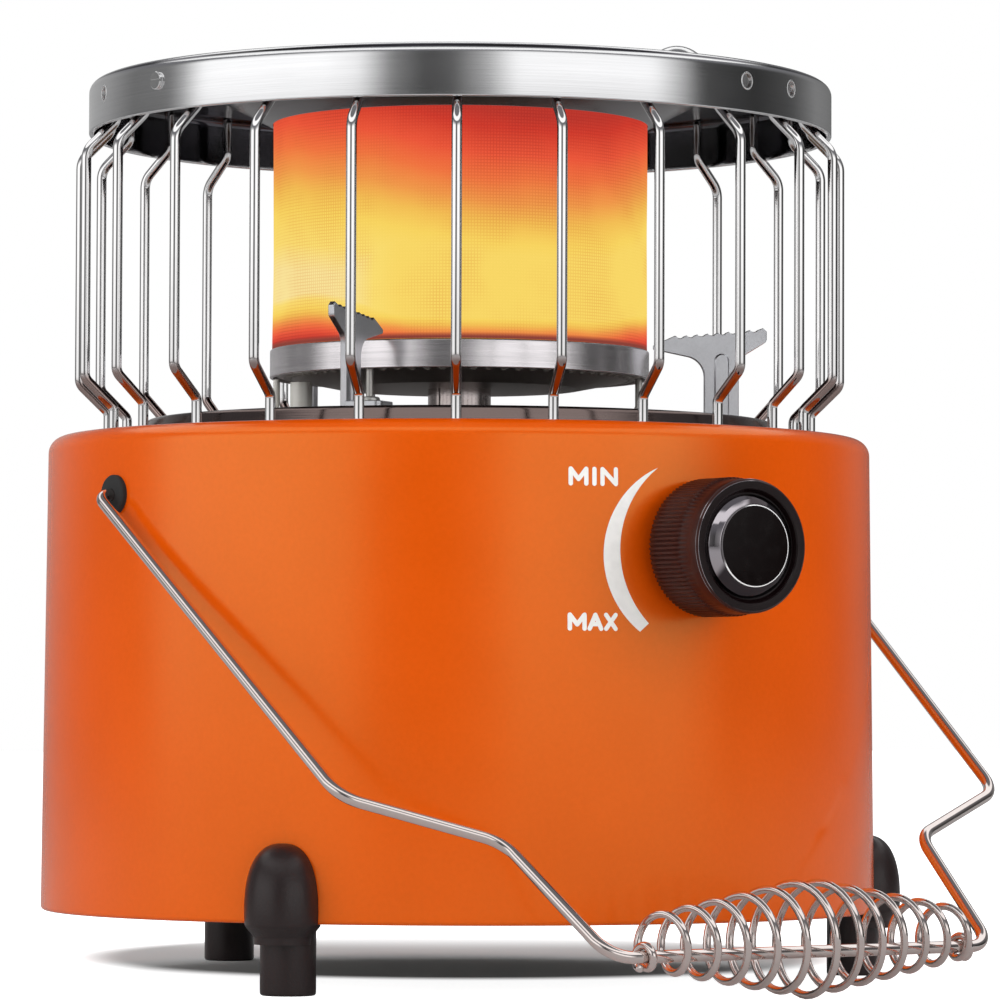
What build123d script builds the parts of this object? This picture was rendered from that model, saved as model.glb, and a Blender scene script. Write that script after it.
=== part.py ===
from build123d import *
import os
from math import acos, atan, cos, degrees, radians, sin, sqrt

# Portable propane heater. Millimetres, +Z up.
# The origin is on the heater's upright axis, in the plane that its three feet stand on.
# The control knob faces -Y, and +X is on the right of someone who faces it.
# An azimuth is an angle about Z, from -Y towards +X, in degrees.

# ---------------------------------------------------------------- clearances
RUNNING_FIT = 0.05            # radial, a shaft in its bore
HOLE_CLEARANCE = 0.15         # radial, a fixed piece in a sheet-metal hole
SEAT_GAP = 0.1                # between curved pressings that nest
WELD = 0.1                    # how far the bars of one piece run into each other
OVERCUT = 1.0                 # how far a cutter runs past the wall that it cuts

# ---------------------------------------------------------------- case
CASE_RADIUS = 100.0           # outside, at the lower edge
CASE_TAPER = 1.2              # the rim is smaller in radius by this
CASE_LIFT = 16.0              # lower edge above the ground
CASE_HEIGHT = 113.0
CASE_WALL = 1.2
CASE_EDGE_ROUND = 1.0
RIM_ROUND = 4.0
RIM_WIDTH = 11.8              # from the rim's outside to the mouth
LIP_DEPTH = 4.0               # the rim's turned-down lip

CASE_TOP = CASE_LIFT + CASE_HEIGHT
RIM_RADIUS = CASE_RADIUS - CASE_TAPER
MOUTH_RADIUS = RIM_RADIUS - RIM_WIDTH
DECK_SEAT = CASE_TOP - LIP_DEPTH

# ---------------------------------------------------------------- base pan and feet
PAN_SHEET = 0.8
PAN_RECESS = 1.0              # pan's floor above the case's lower edge
PAN_RIM = 13.0                # height of the pan's upturned rim
AIR_HOLE_RADIUS = 4.0
AIR_HOLE_COUNT = 12
AIR_HOLE_CIRCLE = 55.0
FOOT_AZIMUTHS = {"left": -60.0, "right": 60.0, "rear": 180.0}
FOOT_PAD_RADIUS = 8.65
FOOT_PROUD = 8.4              # how far a foot's pad stands out of the case
FOOT_PAD_RISE = 18.0          # pad's top above the case's lower edge
FOOT_WAIST_DROP = 2.0         # the pad narrows to the leg this far below the case's lower edge
FOOT_WAIST_RADIUS = 6.9
FOOT_LEG_RADIUS = 6.3
FOOT_LEG_INSET = 3.2          # the leg's centre, inside the case's lower edge
FOOT_LEG_CHAMFER = 0.7
FOOT_NECK = 3.0               # height of the narrow neck between leg and pad
FOOT_NECK_INSET = 0.6
FOOT_BELLY_RISE = 1.0         # the pad is widest this far above its middle
FOOT_BELLY_ROUND = 9.0
FOOT_CROWN_RADIUS = 6.75      # pad's flat top, before rounding
FOOT_CROWN_ROUND = 4.5
SCREW_RADIUS = 1.5
SCREW_HEAD_RADIUS = 3.0
SCREW_HEAD = 2.0
SCREW_HEAD_ROUND = 0.8
SCREW_RISE = 8.0              # screws above the case's lower edge
SCREW_BITE = 5.5              # length of thread in the foot

FOOT_PAD_TOP = CASE_LIFT + FOOT_PAD_RISE
FOOT_WAIST = CASE_LIFT - FOOT_WAIST_DROP
FOOT_LEG_REACH = CASE_RADIUS - FOOT_LEG_INSET
SCREW_HEIGHT = CASE_LIFT + SCREW_RISE

# ---------------------------------------------------------------- deck pan
DECK_SHEET = 0.8
DECK_FLANGE = 6.0             # flange hidden under the case's rim
DECK_GUTTER = 11.5            # from the case's mouth in to the raised middle
PLATEAU_RISE = 8.2
PLATEAU_SLOPE = 2.5
PLATEAU_ROUND = 1.2
PLATEAU_FOOT_ROUND = 0.6
VENT_RADIUS = 3.0
VENT_COUNT = 18
VENT_INSET = 5.9              # vents' circle inside the pot supports' stems
VENT_FIRST_AZIMUTH = 10.0

PLATEAU_RADIUS = MOUTH_RADIUS - DECK_GUTTER
DECK_TOP = DECK_SEAT + PLATEAU_RISE
DECK_UNDERSIDE = DECK_TOP - DECK_SHEET

# ---------------------------------------------------------------- burner
BAND_RADIUS = 45.8
BAND_WALL = 0.7
BAND_HEIGHT = 6.8
BAND_LEDGE = 2.6              # inward ledge that the mesh stands over
BAND_EDGE_ROUND = 0.45
BAND_BEAD_RADIUS = 0.43       # rolled lower edge
BURNER_TOP_RISE = 17.3        # band's top above the deck
CUP_SHEET = 0.7
CUP_SKIRT = 5.4               # upright part of the cup, inside the band
CUP_SLOPE = 3.1
CUP_SLOPE_RUN = 16.0          # width of the cup's sloping wall
CUP_BEND_DROP = 0.3           # inner corner of the bend above the outer one
CUP_PERFORATION = 0.55
CUP_PERFORATION_COUNT = 72
CUP_PERFORATION_INSET = 3.4
CUP_PERFORATION_FIRST = 2.5
PORT_PLATE_SHEET = 0.8
PORT_RADIUS = 1.2
PORT_RINGS = {12.0: 10, 20.0: 16, 28.0: 22, 36.0: 28}
STAY_RADIUS = 0.9
STAY_INSET = 1.6              # stays' circle inside the cup's outside
STAY_OFFSET = -6.0            # azimuth of a stay from its pot support
STAY_TAIL = 2.0               # stay's end below the deck
STAY_DROP = 0.08              # stay's end below the cup's bend, inside its sheet
TUBE_RADIUS = 7.6
TUBE_WALL = 0.8
TUBE_LENGTH = 79.3
TUBE_COLLAR_RADIUS = 12.0
TUBE_COLLAR = 1.0
AIR_WINDOW_RADIUS = 2.6
AIR_WINDOW_RISE = 6.0
AIR_WINDOW_COUNT = 4

BURNER_TOP = DECK_TOP + BURNER_TOP_RISE
BAND_BOTTOM = BURNER_TOP - BAND_HEIGHT
CUP_RADIUS = BAND_RADIUS - BAND_WALL - SEAT_GAP
CUP_RIM = BURNER_TOP - BAND_WALL
CUP_BEND = CUP_RIM - CUP_SKIRT
CUP_BOTTOM = CUP_BEND - CUP_SLOPE
CUP_FLOOR_RADIUS = CUP_RADIUS - CUP_SLOPE_RUN
CUP_PERFORATION_CIRCLE = CUP_RADIUS - CUP_PERFORATION_INSET
STAY_CIRCLE = CUP_RADIUS - STAY_INSET
TUBE_BOTTOM = CUP_BOTTOM - TUBE_LENGTH

# ---------------------------------------------------------------- pot supports
SUPPORT_SHEET = 1.5
SUPPORT_CLEARANCE = 1.6       # inner end from the burner's band
SUPPORT_OVERHANG = 6.9        # outer end past the stem
SUPPORT_STEM_WIDTH = 8.5
SUPPORT_STEM_INSET = 7.1      # stem inside the deck's raised middle
SUPPORT_RISE = 21.3           # top edge above the deck, at the inner end
SUPPORT_CLIMB = 2.7           # top edge rises by this to the outer end
SUPPORT_NOSE = 1.0            # height of the blunt inner end
SUPPORT_NOSE_DROP = 1.9       # that end's top below the line of the toothed edge
SUPPORT_NOSE_RUN = 5.2        # length of the slope from that end up to the teeth
SUPPORT_NOSE_ROUND = 0.4
SUPPORT_TIP = 3.4             # height of the outer end
SUPPORT_THROAT = 5.0          # radius of the curve under the inner arm
SUPPORT_THROAT_RUN = 1.0      # the arm is straight for at least this much before that curve
SUPPORT_ARM_DROP = 2.5        # the inner arm deepens by this towards the stem
SUPPORT_HEEL_DROP = 4.3       # the outer arm deepens by this towards the stem
SUPPORT_HEEL_ROUND = 3.0
SUPPORT_TIP_ROUND = 1.2
TOOTH_PITCH = 2.6
TOOTH_RADIUS = 1.25
TOOTH_DEPTH = 0.75
RIB_WIDTH = 3.6
RIB_PROUD = 0.5
RIB_LENGTH = 17.6
TAB_WIDTH = 8.5               # foot tab, square to the plate
RIVET_RADIUS = 1.2
RIVET_HEAD_RADIUS = 2.2
RIVET_HEAD = 1.1
RIVET_HEAD_ROUND = 0.66

SUPPORT_STEM_OUTER = PLATEAU_RADIUS - SUPPORT_STEM_INSET
SUPPORT_STEM_INNER = SUPPORT_STEM_OUTER - SUPPORT_STEM_WIDTH
SUPPORT_INNER = BAND_RADIUS + SUPPORT_CLEARANCE
SUPPORT_OUTER = SUPPORT_STEM_OUTER + SUPPORT_OVERHANG
SUPPORT_TOP_INNER = DECK_TOP + SUPPORT_RISE
SUPPORT_TOP_OUTER = SUPPORT_TOP_INNER + SUPPORT_CLIMB
VENT_CIRCLE = SUPPORT_STEM_INNER - VENT_INSET

# ---------------------------------------------------------------- guard wires
WIRE_RADIUS = 1.2
WIRE_COUNT = 24
WIRE_FIRST_AZIMUTH = 7.5
RING_PLAY = 0.8               # ring inside the case's mouth
WIRE_BULGE = 7.0
WIRE_HEAD_INSET = 0.3         # upper ends stand this much nearer the axis than the feet
WIRE_FOOT_RISE = 7.9
WIRE_SLANT = 6.9
WIRE_WAIST = 54.2             # upright run between the two slants
RING_SECTION = 2.8
RING_HEIGHT = 2.5
WIRE_BENDS = (2.0, 3.0, 5.0, 3.5)

WIRE_FOOT_REACH = MOUTH_RADIUS - RING_PLAY - RING_SECTION / 2
WIRE_HEAD_REACH = WIRE_FOOT_REACH - WIRE_HEAD_INSET
RING_TOP = DECK_SEAT + RING_HEIGHT
LOWER_SLANT_START = RING_TOP + WIRE_FOOT_RISE
LOWER_SLANT_END = LOWER_SLANT_START + WIRE_SLANT
UPPER_SLANT_START = LOWER_SLANT_END + WIRE_WAIST
UPPER_SLANT_END = UPPER_SLANT_START + WIRE_SLANT + WIRE_HEAD_INSET

# ---------------------------------------------------------------- cap, deflector and mesh
CAP_OVERHANG = 5.2            # cap's outside past the middle of the wires' heads
CAP_HEIGHT = 12.5
CAP_SHEET = 0.8
CAP_ROUND = 2.6
CAP_HEM = 1.3
CAP_HEM_HEIGHT = 1.2
CAP_HEM_ROUND = 0.4
CAP_ABOVE_WIRES = 10.0        # cap's underside above the end of the upper slants
CAP_HOLE_RADIUS = 1.75
CAP_HOLE_DROP = 5.3
CAP_HOLE_AZIMUTHS = (-107.0, 10.5, 22.5, 131.5, 143.5)
CAP_SCREW_AZIMUTH = -88.5
CAP_SCREW_RADIUS = 1.6
CAP_SCREW_HEAD_RADIUS = 2.1
CAP_SCREW_HEAD = 0.7
CAP_SCREW_HEAD_ROUND = 0.25
CAP_SCREW_SLOT = 0.6          # width of the driver slot
CAP_SCREW_SLOT_DEPTH = 0.4
CAP_SCREW_NUT_RADIUS = 2.6
CAP_SCREW_NUT = 1.6
CAP_RIVET_AZIMUTHS = (9.0, 129.0, -111.0)
DOME_RADIUS = 6.9
DOME_HEIGHT = 4.2
DOME_SHANK = 1.6
DOME_TAIL_RADIUS = 2.9
DOME_TAIL = 1.4
DEFLECTOR_SHEET = 0.6
DEFLECTOR_FLANGE_INSET = 5.5  # flange inside the middle of the wires' heads
DEFLECTOR_CONE_RUN = 15.7     # from the mesh out to the cone's top
DEFLECTOR_CONE_RISE = 8.0
DEFLECTOR_COLLAR = 4.6
DEFLECTOR_BEND = 0.8          # upper corner of the bend above the cone's foot
MESH_INSET = 0.5              # mesh inside the band's outside
MESH_WALL = 0.5

CAP_RADIUS = WIRE_HEAD_REACH + CAP_OVERHANG
MESH_RADIUS = BAND_RADIUS - MESH_INSET
DEFLECTOR_FLANGE = WIRE_HEAD_REACH - DEFLECTOR_FLANGE_INSET
DEFLECTOR_CONE_TOP = MESH_RADIUS + DEFLECTOR_CONE_RUN
CAP_RIVET_CIRCLE = (DEFLECTOR_CONE_TOP + DEFLECTOR_FLANGE) / 2
CAP_UNDERSIDE = UPPER_SLANT_END + CAP_ABOVE_WIRES
CAP_TOP = CAP_UNDERSIDE + CAP_SHEET
CAP_BOTTOM = CAP_TOP - CAP_HEIGHT
COLLAR_TOP = CAP_UNDERSIDE - DEFLECTOR_SHEET - DEFLECTOR_CONE_RISE + DEFLECTOR_COLLAR

# ---------------------------------------------------------------- valve and knob
KNOB_AZIMUTH = -4.0
KNOB_DROP = 28.5              # knob's axis below the case's rim
KNOB_STANDOFF = 2.5           # knob's skirt in front of the case
KNOB_LENGTH = 17.9
KNOB_REAR_RADIUS = 15.6
KNOB_TAPER = 0.6              # the front is smaller in radius by this
KNOB_BEVEL = 0.5
KNURL_COUNT = 90
KNURL_DEPTH = 0.35
KNURL_LENGTH = 11.8
KNURL_RUNOUT = 0.5            # slope from the knurl down to the smooth collar
KNOB_COLLAR_STEP = 0.2
KNOB_REAR_ROUND = 0.5
KNOB_SKIRT_WALL = 3.2
KNOB_POCKET = 6.4
DISH_RIM = 2.4                # flat rim round the dish
DISH_DEPTH = 1.4
DISH_LIP = 0.3
DISH_SLOPE = 3.0              # width of the dish round the centre disc
FACE_THICKNESS = 2.8
FACE_ROUND = 0.5
PUSH_TRAVEL = 2.0
STEM_RADIUS = 3.0
STEM_LENGTH = 32.0
STEM_SEAT = 5.4               # depth of the stem in the knob, measured from the dish
STEM_CHAMFER = 0.4
PLUNGER_PLAY = 0.1            # radial, in the stem's bore
PLUNGER_LENGTH = 6.0
VALVE_WIDTH = 22.0
VALVE_HEIGHT = 24.0
VALVE_DEPTH = 21.0
VALVE_SETBACK = 5.0           # block's front face behind the case's inside
VALVE_ROUND = 2.0
VALVE_SPARE_TRAVEL = 0.5
VALVE_SHOULDER_RADIUS = 8.5
NUT_THREAD_RADIUS = 6.0
NUT_FLATS = 16.0
NUT_THICKNESS = 3.2
THREAD_PROUD = 1.0            # thread left standing past its nut
NUT_CROWN = 2.0               # reach of the nut's chamfer cone past its flats
PIEZO_WIDTH = 12.0
PIEZO_HEIGHT = 26.0
PIEZO_DEPTH = 14.0
PIEZO_ROUND = 1.5

KNOB_HEIGHT = CASE_TOP - KNOB_DROP
KNOB_FRONT_RADIUS = KNOB_REAR_RADIUS - KNOB_TAPER
KNOB_POCKET_RADIUS = KNOB_REAR_RADIUS - KNOB_SKIRT_WALL
DISH_RADIUS = KNOB_FRONT_RADIUS - DISH_RIM
FACE_RADIUS = DISH_RADIUS - DISH_SLOPE
PLUNGER_RADIUS = STEM_RADIUS - PLUNGER_PLAY

# ---------------------------------------------------------------- gas way
INLET_RISE = 29.0             # inlet's axis above the case's lower edge
INLET_THREAD_LENGTH = 11.5
INLET_FLATS = 17.0
INLET_COLLAR = 4.5
SPIGOT_RADIUS = 5.0
SPIGOT_LENGTH = 17.0
SPIGOT_BORE = 2.2
SPIGOT_CHAMFER = 0.6
JET_FLATS = 15.0
JET_HEIGHT = 12.0
JET_NOZZLE_RADIUS = 3.0
JET_NOZZLE = 4.0
JET_PORT_RADIUS = 4.2
JET_PORT_REACH = 12.0
JET_ORIFICE = 0.6
GAS_PIPE_RADIUS = 2.4
INLET_PIPE_RADIUS = 3.0
PIPE_WALL = 0.8
PIPE_BEND = 10.0
PIPE_SIDE_RUN = 18.0          # from the valve's side to the inlet pipe's turn
PIPE_REAR_RUN = 26.0          # straight run at the inlet, and behind the valve
LEAD_RADIUS = 1.2
LEAD_BEND = 9.0
LEAD_DROP = 15.0
LEAD_RISE = 18.0
ELECTRODE_AZIMUTH = -108.0
ELECTRODE_INSET = 5.0         # inside the cup's outside
ELECTRODE_RADIUS = 2.65
ELECTRODE_DROP = 20.0         # length of the ceramic below the deck
ELECTRODE_TIP_GAP = 0.9       # ceramic's end below the cup
EARTH_PIN_AZIMUTH = -112.5
EARTH_PIN_OFFSET = 0.3        # outside the cup's outside
EARTH_PIN_RADIUS = 0.75
BRACKET_SHEET = 1.2
BRACKET_WIDTH = 9.3
BRACKET_LENGTH = 15.3

INLET_HEIGHT = CASE_LIFT + INLET_RISE
ELECTRODE_REACH = CUP_RADIUS - ELECTRODE_INSET
EARTH_PIN_REACH = CUP_RADIUS + EARTH_PIN_OFFSET

# ---------------------------------------------------------------- bail
PIVOT_DROP = 16.0             # bail's pivot axis below the case's rim
BAIL_WIRE_RADIUS = 1.4
BAIL_END_INSET = 10.0         # wire's ends inside the case
BAIL_SHOULDER_GAP = 4.0       # the arm turns down this far outside the case
BAIL_ELBOW_INSET = 3.5        # elbow's half width, less than the case's radius by this
BAIL_ELBOW_DROP = 109.0       # from the pivot axis, as the next two
BAIL_KNEE_HALF = 61.2         # half width at the knees
BAIL_KNEE_DROP = 125.3
BAIL_GRIP_HALF = 55.2         # half width at the ends of the grip rod
BAIL_GRIP_DROP = 164.0
BAIL_SHOULDER_BEND = 3.4
BAIL_ELBOW_BEND = 9.0
BAIL_KNEE_BEND = 9.0
BAIL_GRIP_BEND = 7.0
GROMMET_RADIUS = 4.65
GROMMET_NECK = 3.2
GROMMET_FLANGE = 1.1
GROMMET_ROUND = 0.5
COIL_WIRE_RADIUS = 0.9
COIL_PITCH = 7.5
COIL_HALF_TURNS = 6
COIL_MIDDLE_RADIUS = 12.7
COIL_CLOSE_GAP = 0.15         # between the coil's closed ends and the grip rod
COIL_CLOSE_PITCH = 2.2
COIL_HANG = 3.1               # coil's axis above the grip rod, at rest
COIL_GROUND_GAP = 0.2         # coil above the ground, at rest

PIVOT_HEIGHT = CASE_TOP - PIVOT_DROP
GRIP_HEIGHT = COIL_GROUND_GAP + COIL_MIDDLE_RADIUS + COIL_WIRE_RADIUS - COIL_HANG
# From straight down, towards the front: at rest the coil lies on the ground.
BAIL_REST_ANGLE = degrees(acos((PIVOT_HEIGHT - GRIP_HEIGHT) / BAIL_GRIP_DROP))


# ================================================================ helpers
def case_radius(height):
    """Outside radius of the case at a height."""
    return CASE_RADIUS - CASE_TAPER * (height - CASE_LIFT) / CASE_HEIGHT


def on_floor(size_x, size_y, low, high):
    """Block centred on Z, from height low to height high."""
    box = Box(size_x, size_y, high - low, align=(Align.CENTER, Align.CENTER, Align.MIN))
    return Pos(0, 0, low) * box


def rod(radius, low, high):
    """Round bar along Z, from low to high."""
    bar = Cylinder(radius, high - low, align=(Align.CENTER, Align.CENTER, Align.MIN))
    return Pos(0, 0, low) * bar


def hexagon(flats, low, high):
    """Hexagonal bar along Z."""
    return Pos(0, 0, low) * extrude(RegularPolygon(flats / 2, 6, major_radius=False), high - low)


def outer_seat(height, half_size):
    """Distance from the axis of a flat face that seats on the case's tapered outside."""
    return case_radius(height - half_size) + RUNNING_FIT


def inner_seat(height, half_size):
    """Distance from the axis of a flat face that seats on the case's hollow inside."""
    inside = case_radius(height + half_size) - CASE_WALL
    return sqrt(inside ** 2 - half_size ** 2) - RUNNING_FIT


def turned(points, rounds=None):
    """Solid of revolution about Z from (radius, height) points, with rounded corners."""
    face = rounded(make_face(Polyline(*points, close=True)), points, rounds or {})
    return revolve(Plane.XZ * face, Axis.Z)


def rounded(face, points, rounds):
    """Flat face with some corners rounded, where rounds maps a point's index to a radius."""
    for index, radius in rounds.items():
        corner = face.vertices().sort_by_distance(Vector(*points[index]))[0]
        face = fillet(corner, radius)
    return face


def around(azimuth):
    """Location that turns a piece made at azimuth 0 to another azimuth."""
    return Rot(0, 0, azimuth)


def outward(azimuth, height):
    """Frame on the heater's axis: local Z points out at the azimuth, local Y points up."""
    return Rot(0, 0, azimuth) * Pos(0, 0, height) * Rot(90, 0, 0)


def upright_at(azimuth, reach):
    """Frame with local Z up, at a distance from the heater's axis."""
    return Rot(0, 0, azimuth) * Pos(0, -reach, 0)


def ring_of(count, first, piece_at):
    """List of pieces at equal azimuths, where piece_at makes one for an azimuth."""
    return [piece_at(first + 360.0 * index / count) for index in range(count)]


def bent_bar(points, bends, radius, bore=0.0):
    """Round wire or pipe along straight runs joined by arcs."""
    path = FilletPolyline(*points, radius=bends)
    section = Circle(radius)
    if bore > 0:
        section -= Circle(bore)
    return sweep((path ^ 0) * section, path=path)


# ================================================================ case and feet
def body_shell():
    """Drum with a rolled rim and a turned-down lip round its mouth."""
    inner_rim = RIM_RADIUS - CASE_WALL
    lip_outer = MOUTH_RADIUS + CASE_WALL
    under_rim = CASE_TOP - CASE_WALL
    profile = [
        (CASE_RADIUS, CASE_LIFT),
        (RIM_RADIUS, CASE_TOP),
        (MOUTH_RADIUS, CASE_TOP),
        (MOUTH_RADIUS, DECK_SEAT),
        (lip_outer, DECK_SEAT),
        (lip_outer, under_rim),
        (inner_rim, under_rim),
        (CASE_RADIUS - CASE_WALL, CASE_LIFT),
    ]
    shell = turned(profile, {0: CASE_EDGE_ROUND, 1: RIM_ROUND, 2: CASE_WALL, 6: RIM_ROUND - CASE_WALL})
    grommet_hole = rod(GROMMET_NECK + HOLE_CLEARANCE, lip_outer, CASE_RADIUS + OVERCUT)
    shell -= [outward(side, PIVOT_HEIGHT) * grommet_hole for side in (-90, 90)]
    thread_hole = rod(NUT_THREAD_RADIUS + HOLE_CLEARANCE, lip_outer, CASE_RADIUS + OVERCUT)
    shell -= outward(KNOB_AZIMUTH, KNOB_HEIGHT) * thread_hole
    shell -= outward(180, INLET_HEIGHT) * thread_hole
    return shell - screw_holes()


def screw_holes():
    """Clearance holes for the three foot screws, through case and base pan."""
    hole = rod(SCREW_RADIUS + HOLE_CLEARANCE, MOUTH_RADIUS, CASE_RADIUS + OVERCUT)
    return [outward(azimuth, SCREW_HEIGHT) * hole for azimuth in FOOT_AZIMUTHS.values()]


def pan_radius():
    """Outside radius of the base pan, which nests in the case at the top of the pan's rim."""
    return case_radius(CASE_LIFT + PAN_RECESS + PAN_RIM) - CASE_WALL - SEAT_GAP


def bottom_plate():
    """Base pan with an upturned rim and a ring of air holes."""
    floor = CASE_LIFT + PAN_RECESS
    outer = pan_radius()
    inner = outer - PAN_SHEET
    profile = [
        (0, floor), (outer, floor), (outer, floor + PAN_RIM), (inner, floor + PAN_RIM),
        (inner, floor + PAN_SHEET), (0, floor + PAN_SHEET),
    ]
    pan = turned(profile, {1: 2 * PAN_SHEET, 4: PAN_SHEET})
    hole = rod(AIR_HOLE_RADIUS, floor - OVERCUT, floor + PAN_SHEET + OVERCUT)
    pan -= ring_of(AIR_HOLE_COUNT, 0, lambda azimuth: upright_at(azimuth, AIR_HOLE_CIRCLE) * hole)
    return pan - screw_holes()


def foot():
    """One moulded foot at azimuth 0: a domed pad outside the case, and a leg under its edge."""
    pad_reach = CASE_RADIUS + FOOT_PROUD - FOOT_PAD_RADIUS
    belly = (FOOT_PAD_TOP + FOOT_WAIST) / 2 + FOOT_BELLY_RISE
    neck = FOOT_WAIST - FOOT_NECK
    profile = [
        (0, neck), (FOOT_WAIST_RADIUS - FOOT_NECK_INSET, neck), (FOOT_WAIST_RADIUS, FOOT_WAIST),
        (FOOT_PAD_RADIUS, belly), (FOOT_CROWN_RADIUS, FOOT_PAD_TOP), (0, FOOT_PAD_TOP),
    ]
    pad = Pos(0, -pad_reach, 0) * turned(profile, {3: FOOT_BELLY_ROUND, 4: FOOT_CROWN_ROUND})
    leg = Pos(0, -FOOT_LEG_REACH, 0) * rod(FOOT_LEG_RADIUS, 0, CASE_LIFT)
    leg = chamfer(leg.faces().sort_by(Axis.Z)[0].edges(), FOOT_LEG_CHAMFER)
    room_for_case = rod(CASE_RADIUS + RUNNING_FIT, CASE_LIFT, FOOT_PAD_TOP + OVERCUT)
    body = pad + leg - room_for_case
    bore = rod(SCREW_RADIUS + RUNNING_FIT, MOUTH_RADIUS, case_radius(SCREW_HEIGHT) + SCREW_BITE)
    return body - outward(0, SCREW_HEIGHT) * bore


def case_screws():
    """Three screws from inside the pan into the feet."""
    pan_inner = pan_radius() - PAN_SHEET
    head_seat = sqrt(pan_inner ** 2 - SCREW_HEAD_RADIUS ** 2)
    head = rod(SCREW_HEAD_RADIUS, head_seat - SCREW_HEAD, head_seat)
    head = fillet(head.faces().sort_by(Axis.Z)[0].edges(), SCREW_HEAD_ROUND)
    screw = head + rod(SCREW_RADIUS, head_seat, case_radius(SCREW_HEIGHT) + SCREW_BITE - RUNNING_FIT)
    return [outward(azimuth, SCREW_HEIGHT) * screw for azimuth in FOOT_AZIMUTHS.values()]


# ================================================================ deck and burner
def deck_pan():
    """Pressed pan: a flange under the case's rim and a raised middle with vents."""
    reach = MOUTH_RADIUS + DECK_FLANGE
    foot_radius = PLATEAU_RADIUS + PLATEAU_SLOPE
    flange_under = DECK_SEAT - DECK_SHEET
    profile = [
        (reach, DECK_SEAT), (foot_radius, DECK_SEAT), (PLATEAU_RADIUS, DECK_TOP), (0, DECK_TOP),
        (0, DECK_UNDERSIDE), (PLATEAU_RADIUS - DECK_SHEET, DECK_UNDERSIDE),
        (foot_radius - DECK_SHEET, flange_under), (reach, flange_under),
    ]
    pan = turned(profile, {1: PLATEAU_FOOT_ROUND, 2: PLATEAU_ROUND, 5: PLATEAU_FOOT_ROUND, 6: PLATEAU_ROUND})
    pan -= deck_cutter(TUBE_RADIUS + HOLE_CLEARANCE)
    vent = deck_cutter(VENT_RADIUS)
    pan -= ring_of(VENT_COUNT, VENT_FIRST_AZIMUTH, lambda azimuth: upright_at(azimuth, VENT_CIRCLE) * vent)
    rivet_hole = deck_cutter(RIVET_RADIUS + RUNNING_FIT)
    pan -= [rivet_place(azimuth) * rivet_hole for azimuth in FOOT_AZIMUTHS.values()]
    stay_hole = deck_cutter(STAY_RADIUS + RUNNING_FIT)
    pan -= [upright_at(azimuth + STAY_OFFSET, STAY_CIRCLE) * stay_hole for azimuth in FOOT_AZIMUTHS.values()]
    pan -= upright_at(ELECTRODE_AZIMUTH, ELECTRODE_REACH) * deck_cutter(ELECTRODE_RADIUS + HOLE_CLEARANCE)
    pin_hole = deck_cutter(EARTH_PIN_RADIUS + HOLE_CLEARANCE)
    return pan - upright_at(EARTH_PIN_AZIMUTH, EARTH_PIN_REACH) * pin_hole


def deck_cutter(radius):
    """Round cutter through the deck's raised middle."""
    return rod(radius, DECK_SEAT, DECK_TOP + OVERCUT)


def burner_band():
    """Upright ring round the burner with a rolled lower edge and an inward top ledge."""
    inner = BAND_RADIUS - BAND_WALL
    profile = [
        (BAND_RADIUS, BAND_BOTTOM), (BAND_RADIUS, BURNER_TOP), (inner - BAND_LEDGE, BURNER_TOP),
        (inner - BAND_LEDGE, CUP_RIM), (inner, CUP_RIM), (inner, BAND_BOTTOM),
    ]
    bead = Plane.XZ * Pos(BAND_RADIUS - BAND_WALL / 2, BAND_BOTTOM + BAND_WALL / 2) * Circle(BAND_BEAD_RADIUS)
    band = turned(profile, {1: BAND_EDGE_ROUND}) + revolve(bead, Axis.Z)
    return band - rod(inner, BAND_BOTTOM - OVERCUT, CUP_RIM)


def burner_cup():
    """Shallow bowl under the ports, with perforations near its rim and three stay rods."""
    inner = CUP_RADIUS - CUP_SHEET
    floor = CUP_BOTTOM + CUP_SHEET
    mouth = TUBE_RADIUS - TUBE_WALL
    profile = [
        (CUP_RADIUS, CUP_RIM), (inner, CUP_RIM), (inner, CUP_BEND + CUP_BEND_DROP), (CUP_FLOOR_RADIUS, floor),
        (mouth, floor), (mouth, CUP_BOTTOM), (CUP_FLOOR_RADIUS, CUP_BOTTOM), (CUP_RADIUS, CUP_BEND),
    ]
    cup = turned(profile)
    hole = rod(CUP_PERFORATION, CUP_BOTTOM, CUP_RIM)
    cup -= ring_of(CUP_PERFORATION_COUNT, CUP_PERFORATION_FIRST,
                   lambda azimuth: upright_at(azimuth, CUP_PERFORATION_CIRCLE) * hole)
    for azimuth in FOOT_AZIMUTHS.values():
        stay = rod(STAY_RADIUS, DECK_UNDERSIDE - STAY_TAIL, CUP_BEND - STAY_DROP)
        cup += upright_at(azimuth + STAY_OFFSET, STAY_CIRCLE) * stay
    return cup


def burner_port_plate():
    """Perforated disc that spreads the gas, under the band's ledge."""
    radius = CUP_RADIUS - CUP_SHEET - SEAT_GAP
    plate = rod(radius, CUP_RIM - PORT_PLATE_SHEET, CUP_RIM)
    for circle, count in PORT_RINGS.items():
        port = rod(PORT_RADIUS, CUP_BEND, BURNER_TOP)
        plate -= ring_of(count, 0, lambda azimuth: upright_at(azimuth, circle) * port)
    return plate


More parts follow.
